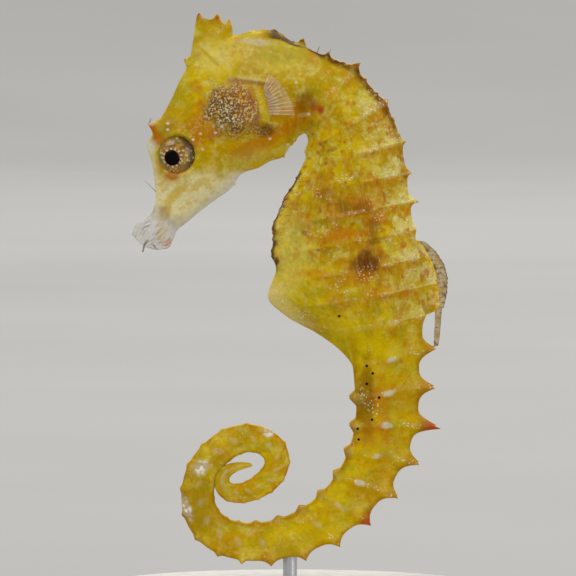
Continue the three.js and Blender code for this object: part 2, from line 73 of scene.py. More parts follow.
# Half a cross-section from the middle of the back to the middle of the belly, as shares of its sizes.
TRUNK_HALF = [(0.86, 0), (0.9, 0.2), (1, 0.4), (0.6, 0.74), (0.16, 1), (-0.16, 0.86), (-0.5, 0.74),
              (-0.78, 0.34), (-1, 0)]
TAIL_HALF = [(0.88, 0), (0.91, 0.36), (1, 0.76), (0.5, 0.88), (0, 1), (-0.5, 0.9), (-1, 0.74),
             (-0.91, 0.36), (-0.88, 0)]
HALF = 8                   # steps from back to belly
ROUND = 16                 # places round the body
FINE = 7                   # points from one place round the body to the next
SPACING = 0.068            # between two loops across the body

NECK_LEAN = (13.3, 2.4, 15)        # place, reach, angle: the sections lean forward round the chin
EYE_LEVEL = (4.4, 2.4, 0.38)       # place, reach, amount: the head is widest high up at the eyes
COIL_SHIFT = (46.5, 52, -0.3)      # from, to, y: the inner turn stands out to the left

# Bony rings in runs: first place, how many, spacing, and how much each spacing is less than the last.
RING_RUNS = [(10.55, 3, 0.8, 0), (13.1, 9, 1.425, 0), (26.05, 9, 1.66, 0.03), (39.7, 9, 0.95, 0),
             (48.2, 8, 0.62, 0)]
TAIL_START = 23.8


def through(pairs):
    """A smooth curve through (place, value) pairs that doesn't swing past them."""
    at, value = (np.array(column, float) for column in zip(*pairs))
    step = np.diff(at)
    slope = np.diff(value) / step
    bend = np.zeros(len(at))
    bend[0], bend[-1] = slope[0], slope[-1]
    for i in range(1, len(at) - 1):
        if slope[i - 1] * slope[i] > 0:
            first = 2 * step[i] + step[i - 1]
            second = step[i] + 2 * step[i - 1]
            bend[i] = (first + second) / (first / slope[i - 1] + second / slope[i])

    def curve(place):
        place = np.clip(place, at[0], at[-1])
        i = np.clip(np.searchsorted(at, place) - 1, 0, len(at) - 2)
        t = (place - at[i]) / step[i]
        rise = t * t * (3 - 2 * t)
        leave = t * (1 - t) ** 2 * step[i]
        arrive = t * t * (1 - t) * step[i]
        return value[i] * (1 - rise) + value[i + 1] * rise + bend[i] * leave - bend[i + 1] * arrive

    return curve


def smooth(x, low, high):
    """0 below low, 1 above high, and a smooth rise between them."""
    t = np.clip((x - low) / (high - low), 0, 1)
    return t * t * (3 - 2 * t)


def hump(x, at, reach):
    """1 at the hump's place, falling smoothly to 0 at its reach."""
    return np.cos(np.pi / 2 * np.minimum(1, np.abs(x - at) / reach)) ** 2


heading = through(HEADINGS)
back, belly, side = (through([(row[0], row[k]) for row in GIRTHS]) for k in (1, 2, 3))

STEP = 0.02
steps = np.arange(LIPS, TIP + STEP / 2, STEP)
turns = np.radians(heading(steps[:-1] + STEP / 2))
line_x = MOUTH[0] + np.concatenate(([0], np.cumsum(STEP * np.cos(turns))))
line_z = MOUTH[1] + np.concatenate(([0], np.cumsum(STEP * np.sin(turns))))


def beside(place, up, left):
    """Points beside the midline: up towards the back, and out towards the left side."""
    turn = np.radians(heading(place) + NECK_LEAN[2] * hump(place, *NECK_LEAN[:2]))
    shift = COIL_SHIFT[2] * smooth(place, *COIL_SHIFT[:2])
    x = np.interp(place, steps, line_x) - np.sin(turn) * up
    z = np.interp(place, steps, line_z) + np.cos(turn) * up
    return np.stack(np.broadcast_arrays(x, shift - left, z), -1)


def cross_section(place):
    """The 16 places round the body as (up, out) shares, for every place along it."""
    trunk = smooth(place, 9.6, 13)[:, None, None]
    tail = smooth(place, 24, 28)[:, None, None]
    i = np.arange(HALF + 1)
    turn = np.pi * i / HALF
    lifted = turn + EYE_LEVEL[2] * hump(place, *EYE_LEVEL[:2])[:, None] * np.sin(turn)
    wide = np.maximum(np.sin(lifted), 0) ** 0.86
    head = np.stack([np.broadcast_to(np.cos(turn), wide.shape), wide], -1)
    half = (head * (1 - trunk) + np.array(TRUNK_HALF) * trunk) * (1 - tail) + np.array(TAIL_HALF) * tail
    other = half[:, -2:0:-1] * np.array([1, -1])
    return np.concatenate([half, other], 1)


def rounding():
    """Weights that take the 16 places to the fine points of a smooth closed curve through them."""
    weights = np.zeros((ROUND * FINE, ROUND))
    for k in range(ROUND):
        for j in range(FINE):
            t = j / FINE
            parts = [-t + 2 * t * t - t ** 3, 2 - 5 * t * t + 3 * t ** 3,
                     t + 4 * t * t - 3 * t ** 3, t ** 3 - t * t]
            for offset, part in zip((-1, 0, 1, 2), parts):
                weights[k * FINE + j, (k + offset) % ROUND] += part / 2
    return weights


# -------- rings and spines

rings = []
for first, count, pitch, shrink in RING_RUNS:
    at = first
    for i in range(count):
        rings.append(at)
        at += pitch - shrink * i
pitches = np.diff(rings + [rings[-1] + RING_RUNS[-1][2]])

BACK_SPINES = (0.1, 0.26, 0.16, 0.4, 0.2, 0.22, 0.26, 0.44, 0.1, 0.06, 0.06)    # down the trunk
TAIL_SPINES = [(24.5, 0.2), (26, 0.8), (27.7, 0.9), (31, 0.87), (34, 0.6), (37, 0.45), (39.5, 0.26),
               (41, 0.16), (46, 0.1), (50, 0.08), (54, 0.02)]
COIL_START = 39                    # from here on the spines are mere bumps
LONG_SPINE = 1.6                   # the long ones, as a share of those
LONG_SPINES = (3,)                 # which rings of the tail carry them
BELLY_KNOB = 0.52                  # at the tail's root, and less along it in step with its girth
SIDE_KNOB = 0.12
BROW_SPINE = (5.0, 0.72)
CHEEK_SPINES = [(4.5, 0.1), (8.55, 0.12)]
NAPE_SPINES = [(10.52, 0.16), (11.3, 0.28)]
RIDGE = (11.3, 12.1)               # where the highest line of the neck parts into the two ridges of the back
FOREHEAD_SPINE = (7.55, 0.42)
NOSE_SPINE = (4.14, 0.2)
SLANT = 0.17                       # how far a tail ring's crest falls back from one place round to the next

tail_spine = through(TAIL_SPINES)
first_on_tail = next(i for i, at in enumerate(rings) if at > TAIL_START)


def spines():
    """Every spine and knob: place along, place round, length, half its foot along and round, taper, lean."""
    rows = []
    for i, (at, pitch) in enumerate(zip(rings, pitches)):
        number = i - first_on_tail
        if number < 0:
            if at > RIDGE[1]:
                rows += [(at, k, BACK_SPINES[i], 0.27 * pitch, 0.65, 2.5, 0.3) for k in (2, 14)]
            rows += [(at, k, SIDE_KNOB, 0.26, 0.7, 1.4, 0) for k in (4, 6, 10, 12)]
            continue
        size = belly(at) / belly(rings[first_on_tail + 1]) * (1 - 0.75 * smooth(at, 36, 42))
        length = float(tail_spine(at)) * (LONG_SPINE if number in LONG_SPINES else 1)
        half, taper = (0.5 * pitch, 2.9) if at < COIL_START else (0.19 * pitch, 1.3)
        rows.append((at, 2, length, half, 1.1, taper, 0.0))
        rows.append((at, 14, length * (0.85 if number in LONG_SPINES else 1), half, 1.1, taper, 0.0))
        rows += [(at + 2 * SLANT, k, SIDE_KNOB * size, 0.24 * pitch, 0.55, 0.9, 0) for k in (4, 12)]
        if number > 1:
            rows += [(at + pitch / 2, k, BELLY_KNOB * size, 0.26 * pitch, 0.75, 1.0, 0) for k in (6, 10)]
    rows += [(BROW_SPINE[0], k, BROW_SPINE[1], 0.78, 0.9, 2.2, -0.1) for k in (1, 15)]
    rows += [(at, 0, length, 0.2, 0.5, 1.6, 0.3) for at, length in NAPE_SPINES]
    rows.append((FOREHEAD_SPINE[0], 0, FOREHEAD_SPINE[1], 0.26, 0.6, 1.6, 0))
    rows.append((NOSE_SPINE[0], 0, NOSE_SPINE[1], 0.7, 0.9, 1.3, 0))
    rows += [(at, 8, length, 0.22, 0.6, 1.4, 0.2) for at, length in CHEEK_SPINES]
    return rows


# -------- pieces

def select_only(*pieces):
    bpy.ops.object.select_all(action="DESELECT")
    for piece in pieces:
        piece.select_set(True)
    bpy.context.view_layer.objects.active = pieces[0]


def face_outwards(piece):
    """Makes all the faces of a piece look out of it."""
    select_only(piece)
    bpy.ops.object.mode_set(mode="EDIT")
    bpy.ops.mesh.select_all(action="SELECT")
    bpy.ops.mesh.normals_make_consistent(inside=False)
    bpy.ops.object.mode_set(mode="OBJECT")


def finish_piece(piece):
    """Brings a piece from millimetres to metres, with its place in its mesh."""
    select_only(piece)
    piece.data.transform(piece.matrix_world)
    piece.matrix_world = Matrix.Identity(4)
    piece.data.transform(Matrix.Scale(MM, 4))
    bpy.ops.object.shade_smooth()
    return piece


def keep_with(piece, material, slot, *nodes):
    piece.data.materials.clear()
    piece.data.materials.append(material)
    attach(piece, "root")
    if nodes:
        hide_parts(*nodes)
    return piece


# -------- the skin

RING_RELIEF = 0.028        # how much thicker a ring's crest is than the groove beside it
CROWN_SPACING = 0.048      # closer loops where the coronet rises
POUCH_LINE = ((-0.95, 18.35), (3.1, 13.32))    # x and z of the pouch's slanted upper edge, top and foot

NAPE_TOOTH, KEEL_TOOTH, LIP_FOLD = 0.05, 0.035, 0.05
EYE = {"place": 4.4, "up": 1.0, "out": 0.8, "radius": 0.93, "depth": 0.5}
SOCKET = {"floor": 0.8, "edge": 0.13, "rim": 0.07}
GILL = {"x": -2.6, "z": 26.05, "along": 1.7, "across": 1.25, "tilt": -8, "rise": 0.17, "groove": 0.05}
CORONET = {"x": -3.93, "along": 1.07, "across": 0.56, "lean": 0.17, "narrow": 0.15}
CORONET_RIM = [(-4.9, 30.36), (-4.6, 30.42), (-4.1, 30.33), (-3.35, 30.15), (-2.96, 29.88)]    # x and z
CORONET_POINTS = [(0, 0.32, 13), (100, 0.36, 12), (158, 0.46, 10)]    # angle from its front, height, foot
# By the share of the way out from its middle: where the skin there goes, and how much of it is lifted.
CORONET_SPREAD = [(0, 0), (0.46, 0.84), (0.6, 1), (1.1, 1), (1.4, 1.4)]
CORONET_LIFT = [(0, 1), (0.5, 1), (0.58, 0.94), (1.0, 0.24), (1.15, 0.07), (1.4, 0)]
CORONET_DISH = 0.3


def skin_places():
    """Places of the loops across the body: evenly close, with one exactly at each spine."""
    marks = sorted({LIPS, -0.15, 7.3, 10.2, TIP, *(round(row[0], 4) for row in spines())})
    places = []
    for start, end in zip(marks, marks[1:]):
        spacing = CROWN_SPACING if 7.3 <= start < 10.2 else SPACING
        places += list(np.linspace(start, end, max(1, math.ceil((end - start) / spacing)), endpoint=False))
    return np.array(places + [TIP])


def edge_teeth(place, left_of_back):
    """Small uneven teeth along the nape, the belly's keel and the lips."""
    wave = np.sin(place * 13.0) + np.sin(place * 21.7 + 1) + 0.6 * np.sin(place * 34.1 + 2)
    teeth = np.maximum(wave, 0)[:, None]
    place, edge = place[:, None], 2 * smooth(place, *RIDGE)[:, None]
    nape = smooth(place, 9.2, 9.9) * (1 - smooth(place, 14, 17)) * hump(left_of_back, edge, 0.7)
    keel = smooth(place, 15.8, 16.6) * (1 - smooth(place, 20.2, 20.9)) * hump(left_of_back, 8, 0.8)
    lips = 1 - smooth(place, 0.3, 1.1)
    return NAPE_TOOTH * teeth * nape + KEEL_TOOTH * teeth * keel + LIP_FOLD * np.sin(
        left_of_back * 2.3 + place * 9) * lips


def ring_crest(place):
    """1 on the crest of a ring, falling to 0 half way to the next; the head has none."""
    number = np.interp(place, rings, np.arange(len(rings)))
    crest = hump(number - np.round(number), 0, 0.5) ** 1.5
    return crest * smooth(place, 9.9, 10.5) * (1 - smooth(place, 52.5, 53.5))


def pouch_share(x, z, soft=0.5):
    """1 on the brood pouch, 0 above its slanted edge."""
    (x0, z0), (x1, z1) = POUCH_LINE
    length = math.hypot(x1 - x0, z1 - z0)
    below = ((x1 - x0) * (z0 - z) + (z1 - z0) * (x - x0)) / length
    return smooth(below, -0.1, soft) * (z > 12)


def stations(x, pairs):
    """Straight runs between (station, value) pairs."""
    return np.interp(x, *zip(*pairs))


def raise_coronet(points, place, near_top, tip):
    """Draws the top of the head up into a dish with five points."""
    x, y, z = points[..., 0], points[..., 1], points[..., 2]
    dx = (x - CORONET["x"]) / CORONET["along"]
    dy = y / CORONET["across"]
    reach = np.hypot(dx, dy)
    turn = np.arctan2(dy, -dx)
    chosen = (place[:, None] > 7) & (place[:, None] < 10.4) & near_top & (reach < 1.4)
    spread = stations(reach, CORONET_SPREAD) / np.maximum(reach, 1e-6)
    new_x = CORONET["x"] + dx * spread * CORONET["along"]
    rim = stations(new_x, CORONET_RIM)
    for angle, height, foot in CORONET_POINTS:
        apart = np.abs(np.abs(np.degrees(turn)) - angle)
        point = np.exp(-(apart / foot) ** 2) * hump(reach, 0.5, 0.2)
        rim = rim + height * point
        tip[:] = np.maximum(tip, np.where(chosen, point, 0))
    rim = rim - CORONET_DISH * (1 - smooth(reach, 0.1, 0.48))
    lift = stations(reach, CORONET_LIFT)
    top = lift * smooth(rim, 29.6, 30.4)
    new_x = new_x + top * (CORONET["lean"] - CORONET["narrow"] * (new_x - CORONET["x"]))
    points[..., 0] = np.where(chosen, new_x, x)
    points[..., 1] = np.where(chosen, dy * spread * CORONET["across"], y)
    points[..., 2] = np.where(chosen, z + lift * (rim - z), z)


def shape_head(points, place):
    """Eye sockets with a low rim, and the raised gill covers."""
    x, y, z = points[..., 0], points[..., 1], points[..., 2]
    wide = np.abs(y)
    on_head = (place < 12)[:, None]
    ex, _, ez = beside(EYE["place"], EYE["up"], 0)
    away = np.hypot(x - ex, z - ez)
    ball, floor, edge = EYE["radius"], SOCKET["floor"], SOCKET["edge"]
    rim = SOCKET["rim"] * np.exp(-((away - ball - edge) / edge) ** 2)
    socket = floor + (wide - floor) * smooth(away, ball - edge, ball + edge) + rim
    wide = np.where(on_head & (away < ball + 0.5) & (wide > floor), socket, wide)
    tilt = math.radians(GILL["tilt"])
    gx = (x - GILL["x"]) * math.cos(tilt) + (z - GILL["z"]) * math.sin(tilt)
    gz = (z - GILL["z"]) * math.cos(tilt) - (x - GILL["x"]) * math.sin(tilt)
    far = np.hypot(gx / GILL["along"], gz / GILL["across"])
    cover = GILL["rise"] * (1 - smooth(far, 0.55, 1.0)) - GILL["groove"] * np.exp(-((far - 1.08) / 0.07) ** 2)
    flank = smooth(wide, 0.5, 0.9)
    wide = wide + np.where(on_head & (far < 1.4), cover * flank, 0)
    points[..., 1] = np.sign(y) * wide


def write_fields(mesh, fields):
    """Keeps values at every point of a mesh, for its finish to read."""
    for name, values in fields.items():
        mesh.attributes.new(name, "FLOAT", "POINT").data.foreach_set("value", np.asarray(values, np.float32))


def make_skin():
    place = skin_places()
    corners = cross_section(place)
    sizes = np.where(corners[..., 0] > 0, back(place)[:, None], belly(place)[:, None])
    weights = rounding()
    up = (corners[..., 0] * sizes) @ weights.T
    out = (corners[..., 1] * side(place)[:, None]) @ weights.T
    k = np.arange(ROUND * FINE) / FINE
    left_of_back = np.minimum(k, ROUND - k)

    rough = beside(place[:, None], up, out)
    pouch = pouch_share(rough[..., 0], rough[..., 2]) * (place[:, None] < 28)
    slant = SLANT * (left_of_back - 2)[None, :] * smooth(place, 24, 27)[:, None]
    crest = ring_crest(place[:, None] - slant) * (1 - pouch)
    swell = 1 + RING_RELIEF * (crest - 0.5) * (1 - 0.7 * smooth(place, 37, 41))[:, None]
    drawn, tip, shift = (np.zeros_like(up) for _ in range(3))
    for at, at_k, length, half, half_k, taper, lean in spines():
        around = (k - at_k + HALF) % ROUND - HALF
        far = np.hypot((place[:, None] - at) / half, around[None, :] / half_k)
        weight = np.clip(1 - far, 0, 1) ** taper
        drawn = np.maximum(drawn, length * weight)
        if length > 0.2:
            tip = np.maximum(tip, np.clip(1 - far, 0, 1) * min(1, length / 0.4))
            shift += lean * length * weight ** 2
    drawn = drawn + edge_teeth(place, left_of_back[None, :])
    reach = np.hypot(up, out)
    up = up * (swell + drawn / reach)
    out = out * (swell + drawn / reach)
    points = beside(place[:, None], up, out)
    turn = np.radians(heading(place))[:, None]
    points[..., 0] += shift * np.cos(turn)
    points[..., 2] += shift * np.sin(turn)
    shape_head(points, place)
    raise_coronet(points, place, (left_of_back < 5)[None, :], tip)

    loops, count = len(place), ROUND * FINE
    lips = points[0].mean(0) - 0.1 * np.array([math.cos(turns[0]), 0, math.sin(turns[0])])
    end = points[-1].mean(0) + 0.1 * np.array([math.cos(turns[-1]), 0, math.sin(turns[-1])])
    verts = np.concatenate([points.reshape(-1, 3), [lips, end]])
    index = np.arange(loops * count).reshape(loops, count)
    beyond = np.roll(index, -1, 1)
    faces = np.stack([index[:-1], beyond[:-1], beyond[1:], index[1:]], -1).reshape(-1, 4).tolist()
    faces += [(b, a, loops * count) for a, b in zip(index[0].tolist(), beyond[0].tolist())]
    faces += [(a, b, loops * count + 1) for a, b in zip(index[-1].tolist(), beyond[-1].tolist())]
    mesh = bpy.data.meshes.new("skin")
    mesh.from_pydata(verts.tolist(), [], faces)
    fields = {
        "along": np.broadcast_to(place[:, None], up.shape),
        "round": np.broadcast_to(left_of_back[None, :] / HALF, up.shape),
        "crest": crest * np.ones_like(up),
        "ring": np.interp(place[:, None] - slant, rings, np.arange(len(rings))),
        "tip": tip,
    }
    ends = {name: np.append(values, [values[0].mean(), values[-1].mean()]) for name, values in fields.items()}
    write_fields(mesh, ends)
    skin = bpy.data.objects.new("skin", mesh)
    bpy.context.scene.collection.objects.link(skin)
    face_outwards(skin)
    return finish_piece(skin)


# -------- materials

def rgb(code):
    """A colour from its six hex digits, made linear."""
    parts = [int(code[i:i + 2], 16) / 255 for i in (0, 2, 4)]
    return tuple(c / 12.92 if c < 0.04045 else ((c + 0.055) / 1.055) ** 2.4 for c in parts) + (1,)


class Value:
    """A socket that Python's own operators work on; each adds a Math node."""

    def __init__(self, finish, socket):
        self.finish, self.socket = finish, socket

    def math(self, operation, first, second=0):
        return self.finish.math(operation, first, second)

    def __add__(self, other):
        return self.math("ADD", self, other)

    __radd__ = __add__

    def __sub__(self, other):
        return self.math("SUBTRACT", self, other)

    def __rsub__(self, other):
        return self.math("SUBTRACT", other, self)

    def __mul__(self, other):
        return self.math("MULTIPLY", self, other)

    __rmul__ = __mul__

    def __truediv__(self, other):
        return self.math("DIVIDE", self, other)

    def __pow__(self, other):
        return self.math("POWER", self, other)

    def most(self, other):
        return self.math("MAXIMUM", self, other)

    def size(self):
        return self.math("ABSOLUTE", self)

    def share(self):
        """What is left of it past the whole numbers."""
        return self.math("FRACT", self)


class Finish:
    """A material whose surface is one Principled shader."""

    def __init__(self, name, **constants):
        self.material = bpy.data.materials.new(name)
        self.material.use_nodes = True
        self.tree = self.material.node_tree
        self.shader = next(n for n in self.tree.nodes if n.type == "BSDF_PRINCIPLED")
        for socket, value in constants.items():
            self.shader.inputs[socket.replace("_", " ")].default_value = value
        space = self.node("ShaderNodeTexCoord", {}, {}, "Object")
        self.mm = self.node("ShaderNodeVectorMath", {"operation": "SCALE"}, {0: space, "Scale": 1 / MM})
        self.wobble = self.colour = None
        self.x, self.y, self.z = (self.part_of(self.mm, axis) for axis in range(3))

    def node(self, kind, settings, inputs, output=0):
        """Adds a node: its settings first, then the values or links of its sockets."""
        node = self.tree.nodes.new(kind)
        for name, value in settings.items():
            setattr(node, name, value)
        for name, value in inputs.items():
            if isinstance(value, Value):
                self.tree.links.new(value.socket, node.inputs[name])
            else:
                node.inputs[name].default_value = value
        return Value(self, node.outputs[output])

    def math(self, operation, first, second=0):
        return self.node("ShaderNodeMath", {"operation": operation}, {0: first, 1: second})

    def field(self, name):
        return self.node("ShaderNodeAttribute", {"attribute_name": name}, {}, "Fac")

    def part_of(self, vector, axis):
        return self.node("ShaderNodeSeparateXYZ", {}, {0: vector}, axis)

    def noise(self, scale, detail=2.0, rough=0.5, vector=None):
        return self.node("ShaderNodeTexNoise", {},
                         {"Vector": vector or self.mm, "Scale": scale, "Detail": detail, "Roughness": rough})

    def drawn_out(self, across, down, detail, rough):
        """Noise that follows two values of the surface instead of its place."""
        vector = self.node("ShaderNodeCombineXYZ", {}, {0: across, 1: down, 2: 0.0})
        return self.noise(1.0, detail, rough, vector)

    def blotch(self, low, high, *grain):
        """Noise made into soft patches of 1 on 0."""
        return self.rise(self.noise(*grain), low, high)

    def sway(self, amount, *grain):
        """Noise about zero, half the amount either way."""
        return (self.noise(*grain) - 0.5) * amount

    def cells(self, scale):
        """How far each spot is from the middle of its cell."""
        return self.node("ShaderNodeTexVoronoi", {}, {"Vector": self.mm, "Scale": scale})

    def rise(self, value, low, high, start=0.0, end=1.0):
        """A smooth change from start, at low, to end, at high; low may be the larger."""
        if low > high:
            low, high, start, end = high, low, end, start
        return self.node("ShaderNodeMapRange", {"interpolation_type": "SMOOTHSTEP"},
                         {"Value": value, "From Min": low, "From Max": high, "To Min": start, "To Max": end})

    def stretch(self, value, start, full, fading, end):
        """1 where a value is between full and fading, falling to 0 at start and at end."""
        return self.rise(value, start, full) * self.rise(value, end, fading)

    def mix(self, share, first, second, how="MIX"):
        """A colour between two others."""
        return self.node("ShaderNodeMix", {"data_type": "RGBA", "blend_type": how},
                         {0: share, 6: first, 7: second}, 2)

    def patch(self, x, z, along, across, tilt=0.0, soft=0.5, ragged=0.0):
        """1 inside an ellipse seen from the side, on both flanks, and 0 outside it."""
        turn = math.radians(tilt)
        dx, dz = self.x - x, self.z - z
        u = (dx * math.cos(turn) + dz * math.sin(turn)) / along
        v = (dz * math.cos(turn) - dx * math.sin(turn)) / across
        far = (u * u + v * v) ** 0.5
        if ragged:
            self.wobble = self.wobble or self.noise(1.6, 3) - 0.5
            far = far + self.wobble * ragged
        return self.rise(far, 1 + soft / 2, 1 - soft / 2)

    def lay(self, share, tone, how="MIX"):
        """Lays a tone over the colour so far."""
        self.colour = self.mix(share, self.colour, tone, how)

    def lay_patches(self, rows, *edge):
        """Lays a table's patches; edge is how soft and how ragged they are, where a row doesn't say."""
        for *shape, tone, share in rows:
            self.lay(self.patch(*shape, *edge) * share, tone)

    def bump(self, height, distance, strength=1.0, under=None):
        inputs = {"Height": height, "Distance": distance * MM, "Strength": strength}
        if under:
            inputs["Normal"] = under
        return self.node("ShaderNodeBump", {}, inputs)

    def cover(self, **links):
        """Links the colour, and what else changes over the surface, to the shader."""
        for socket, value in {"Base_Color": self.colour, **links}.items():
            self.tree.links.new(value.socket, self.shader.inputs[socket.replace("_", " ")])
        return self.material


YELLOW, GOLD, OLIVE, CREAM = rgb("d0b404"), rgb("be9804"), rgb("a89c14"), rgb("dccf8c")
AMBER, RUST, BROWN, DARK_BROWN = rgb("bd7803"), rgb("a65a04"), rgb("744008"), rgb("4a2a10")
RED, WHITE, PALE_GREEN, BLACK = rgb("a23c1e"), rgb("f4f0e2"), rgb("c3cfa6"), rgb("050302")
SNOUT, STRAW, CLEAR, MAUVE = rgb("e2d8a4"), rgb("cfae38"), rgb("d2cfc6"), rgb("8e5a40")
LEMON, ORANGE, DARK_RED, GREY = rgb("d8cb68"), rgb("c07206"), rgb("5a2506"), rgb("bdb8a8")
MOSS, BRONZE, DRAB, SLATE = rgb("56540c"), rgb("9a7404"), rgb("8c7c28"), rgb("6b6558")
HORN, PEARL, BRICK, BRASS = rgb("b49e58"), rgb("cdc8b0"), rgb("8a3014"), rgb("deb23c")
SMOKE, SHADE, LIGHT = rgb("77705f"), rgb("909090"), rgb("ffffff")

# Patches of colour on the flanks: x, z, half length, half height, tilt, colour, share.
PATCHES = [
    (-1.4, 28.5, 2.5, 0.8, -10, CREAM, 0.2), (-1.6, 29.2, 0.75, 0.17, -4, CLEAR, 0.4),
    (-0.6, 28.7, 1.2, 0.5, -8, OLIVE, 0.35), (-3.6, 29.9, 0.9, 0.5, 0, GOLD, 0.4),
    (-3.9, 28.4, 0.7, 0.9, 60, CREAM, 0.3), (-5.6, 26.6, 0.9, 0.8, 40, OLIVE, 0.6),
    (-4.1, 28.5, 0.8, 0.12, -42, YELLOW, 0.6), (-3.93, 28.4, 0.7, 0.08, -42, BROWN, 0.25),
    (-6.2, 24.9, 0.7, 0.5, 30, DRAB, 0.5), (-5.2, 25.4, 0.8, 0.8, 30, AMBER, 0.25),
    (-4.35, 24.1, 0.5, 0.9, 10, AMBER, 0.3), (-4.7, 27.0, 0.4, 0.3, 0, ORANGE, 0.45),
    (-4.45, 25.9, 0.3, 0.6, 0, ORANGE, 0.6), (-4.3, 24.9, 0.9, 0.5, 20, AMBER, 0.6),
    (-4.7, 24.3, 0.2, 0.3, 0, ORANGE, 0.7), (-3.85, 24.7, 0.3, 0.22, 0, ORANGE, 0.7),
    (-2.7, 24.0, 0.7, 0.3, 10, AMBER, 0.5), (-1.2, 24.3, 1.6, 0.6, 30, AMBER, 0.6),
    (0.2, 25.4, 0.9, 0.7, 30, AMBER, 0.6), (-2.1, 23.5, 1.2, 0.4, 20, LEMON, 0.35),
    (-1.5, 24.2, 1.5, 0.35, 28, AMBER, 0.5), (0.0, 18.7, 1.0, 1.9, 0, LEMON, 0.35),
    (0.8, 26.1, 0.55, 0.5, -30, BROWN, 0.6), (0.75, 25.6, 0.3, 0.1, 8, CREAM, 0.3),
    (1.2, 25.9, 0.22, 0.3, 20, RED, 0.6), (1.52, 25.82, 0.2, 0.26, 10, RED, 0.9),
    (1.6, 22.1, 0.6, 0.75, 10, RUST, 0.45), (2.6, 21.0, 2.0, 1.3, 15, BROWN, 0.28),
    (3.35, 21.1, 1.25, 0.5, 18, ORANGE, 0.7), (3.5, 20.95, 0.8, 0.3, 18, BROWN, 0.5),
    (2.75, 19.6, 1.6, 0.34, 4, ORANGE, 0.6), (4.5, 20.5, 0.5, 0.4, 30, ORANGE, 0.5),
    (2.65, 21.05, 0.35, 0.28, 20, MOSS, 0.5), (0.73, 19.7, 0.14, 0.12, 0, MOSS, 0.4),
    (4.15, 19.75, 0.26, 0.75, -4, BROWN, 0.5), (3.8, 18.15, 0.85, 0.75, 20, RUST, 0.7),
    (3.85, 18.25, 0.6, 0.5, 20, DARK_RED, 0.8), (3.3, 17.45, 0.9, 0.3, 12, ORANGE, 0.6),
    (1.45, 17.6, 1.1, 0.24, -4, ORANGE, 0.5), (4.4, 16.75, 0.8, 0.4, 14, AMBER, 0.5),
    (2.4, 12.9, 1.3, 0.5, -38, AMBER, 0.35), (3.82, 11.4, 0.42, 1.9, 0, BROWN, 0.65),
    (4.6, 10.8, 0.36, 1.7, 4, ORANGE, 0.5), (3.9, 9.4, 0.5, 0.8, 10, ORANGE, 0.4),
    (4.6, 7.2, 0.8, 0.5, 50, AMBER, 0.4), (3.85, 5.4, 0.4, 0.45, 0, RED, 0.55),
    (-4.5, 6.0, 1.3, 1.5, 0, BRONZE, 0.6), (1.2, 4.6, 1.9, 0.6, 8, YELLOW, 0.6),
]
# The gill cover's own, each with how soft and how ragged its edge is.
GILL_COLOUR = (-2.75, 26.1, 1.4, 1.12, -14, 0.6, 1.0)
GILL_PATCHES = [
    (-3.3, 25.9, 0.9, 0.9, 0, 1.2, 1.4, DARK_BROWN, 0.55), (-2.2, 26.4, 0.6, 0.5, 0, 1.2, 1.4, RUST, 0.4),
    (-2.0, 27.22, 1.0, 0.12, -7, 1.2, 0.7, MAUVE, 0.6), (-1.9, 27.4, 0.9, 0.09, -8, 1.2, 0.6, CREAM, 0.4),
    (-1.35, 25.95, 0.2, 0.75, 14, 1.0, 0.8, YELLOW, 0.8),
    (-0.98, 26.3, 0.16, 0.75, 14, 1.0, 0.7, MAUVE, 0.55),
    (-2.3, 24.75, 1.4, 0.36, 6, 1.3, 1.5, BROWN, 0.6),
    (-1.2, 24.88, 0.4, 0.28, 20, 1.3, 1.4, DARK_BROWN, 0.65),
]
FACE_PATCHES = [
    (-5.85, 22.55, 0.45, 0.24, 10, ORANGE, 0.85), (-6.5, 23.1, 0.25, 0.3, 0, ORANGE, 0.5),
    (-6.6, 24.3, 0.5, 0.3, 30, RUST, 0.5), (-6.8, 24.7, 0.18, 0.5, 22, ORANGE, 0.9),
    (-6.98, 25.2, 0.2, 0.16, 0, CLEAR, 0.8), (-6.95, 23.4, 0.28, 1.0, 8, SNOUT, 0.75),
    (-6.95, 24.0, 0.3, 0.3, 0, CLEAR, 0.5), (-5.75, 21.6, 0.7, 0.26, 50, STRAW, 0.8),
    (-6.2, 20.7, 0.55, 0.24, 60, GOLD, 0.6), (-6.35, 19.6, 0.26, 0.5, 0, STRAW, 0.65),
    (-6.15, 19.2, 0.36, 0.2, 20, AMBER, 0.7), (-5.98, 19.1, 0.22, 0.17, 30, ORANGE, 0.9),
    (-6.9, 19.3, 0.5, 0.04, 28, SLATE, 0.7),
]
BLACK_DOTS = [(2.45, 15.55), (2.35, 14.05), (4.13, 12.68), (3.83, 12.15), (3.83, 13.05), (4.45, 11.47),
              (4.1, 10.36), (3.38, 9.9), (3.43, 9.36)]
WHITE_DOTS = [(-6.1, 25.15), (-6.1, 24.85), (-4.47, 24.66), (-4.83, 24.35), (-4.35, 23.87), (-3.7, 24.7),
              (-3.4, 25.0), (-1.0, 24.4), (0.95, 25.62), (0.3, 27.2), (-0.1, 24.1)]
# Where small flecks and glints sit closest.
GILL_CORNER = (-3.35, 25.5, 1.0, 0.75, 20, 1.2, 0.8)
UNDER_GILL = (-2.4, 24.7, 1.2, 0.4, 6, 1.0, 1.0)
GLINT_PATCHES = [((-5.0, 24.6, 0.9, 0.6, 15, 1.0, 1.0), 0.3), ((4.1, 11.1, 1.1, 0.3, -55, 0.8, 0.8), 0.8),
                 ((3.9, 17.7, 0.6, 0.4, 0, 1.0, 1.0), 0.7)]
WHITE_CRUSTS = [(-4.42, 7.95, 0.36, 0.32), (-1.0, 9.7, 0.3, 0.2), (-5.15, 5.9, 0.18, 0.5)]


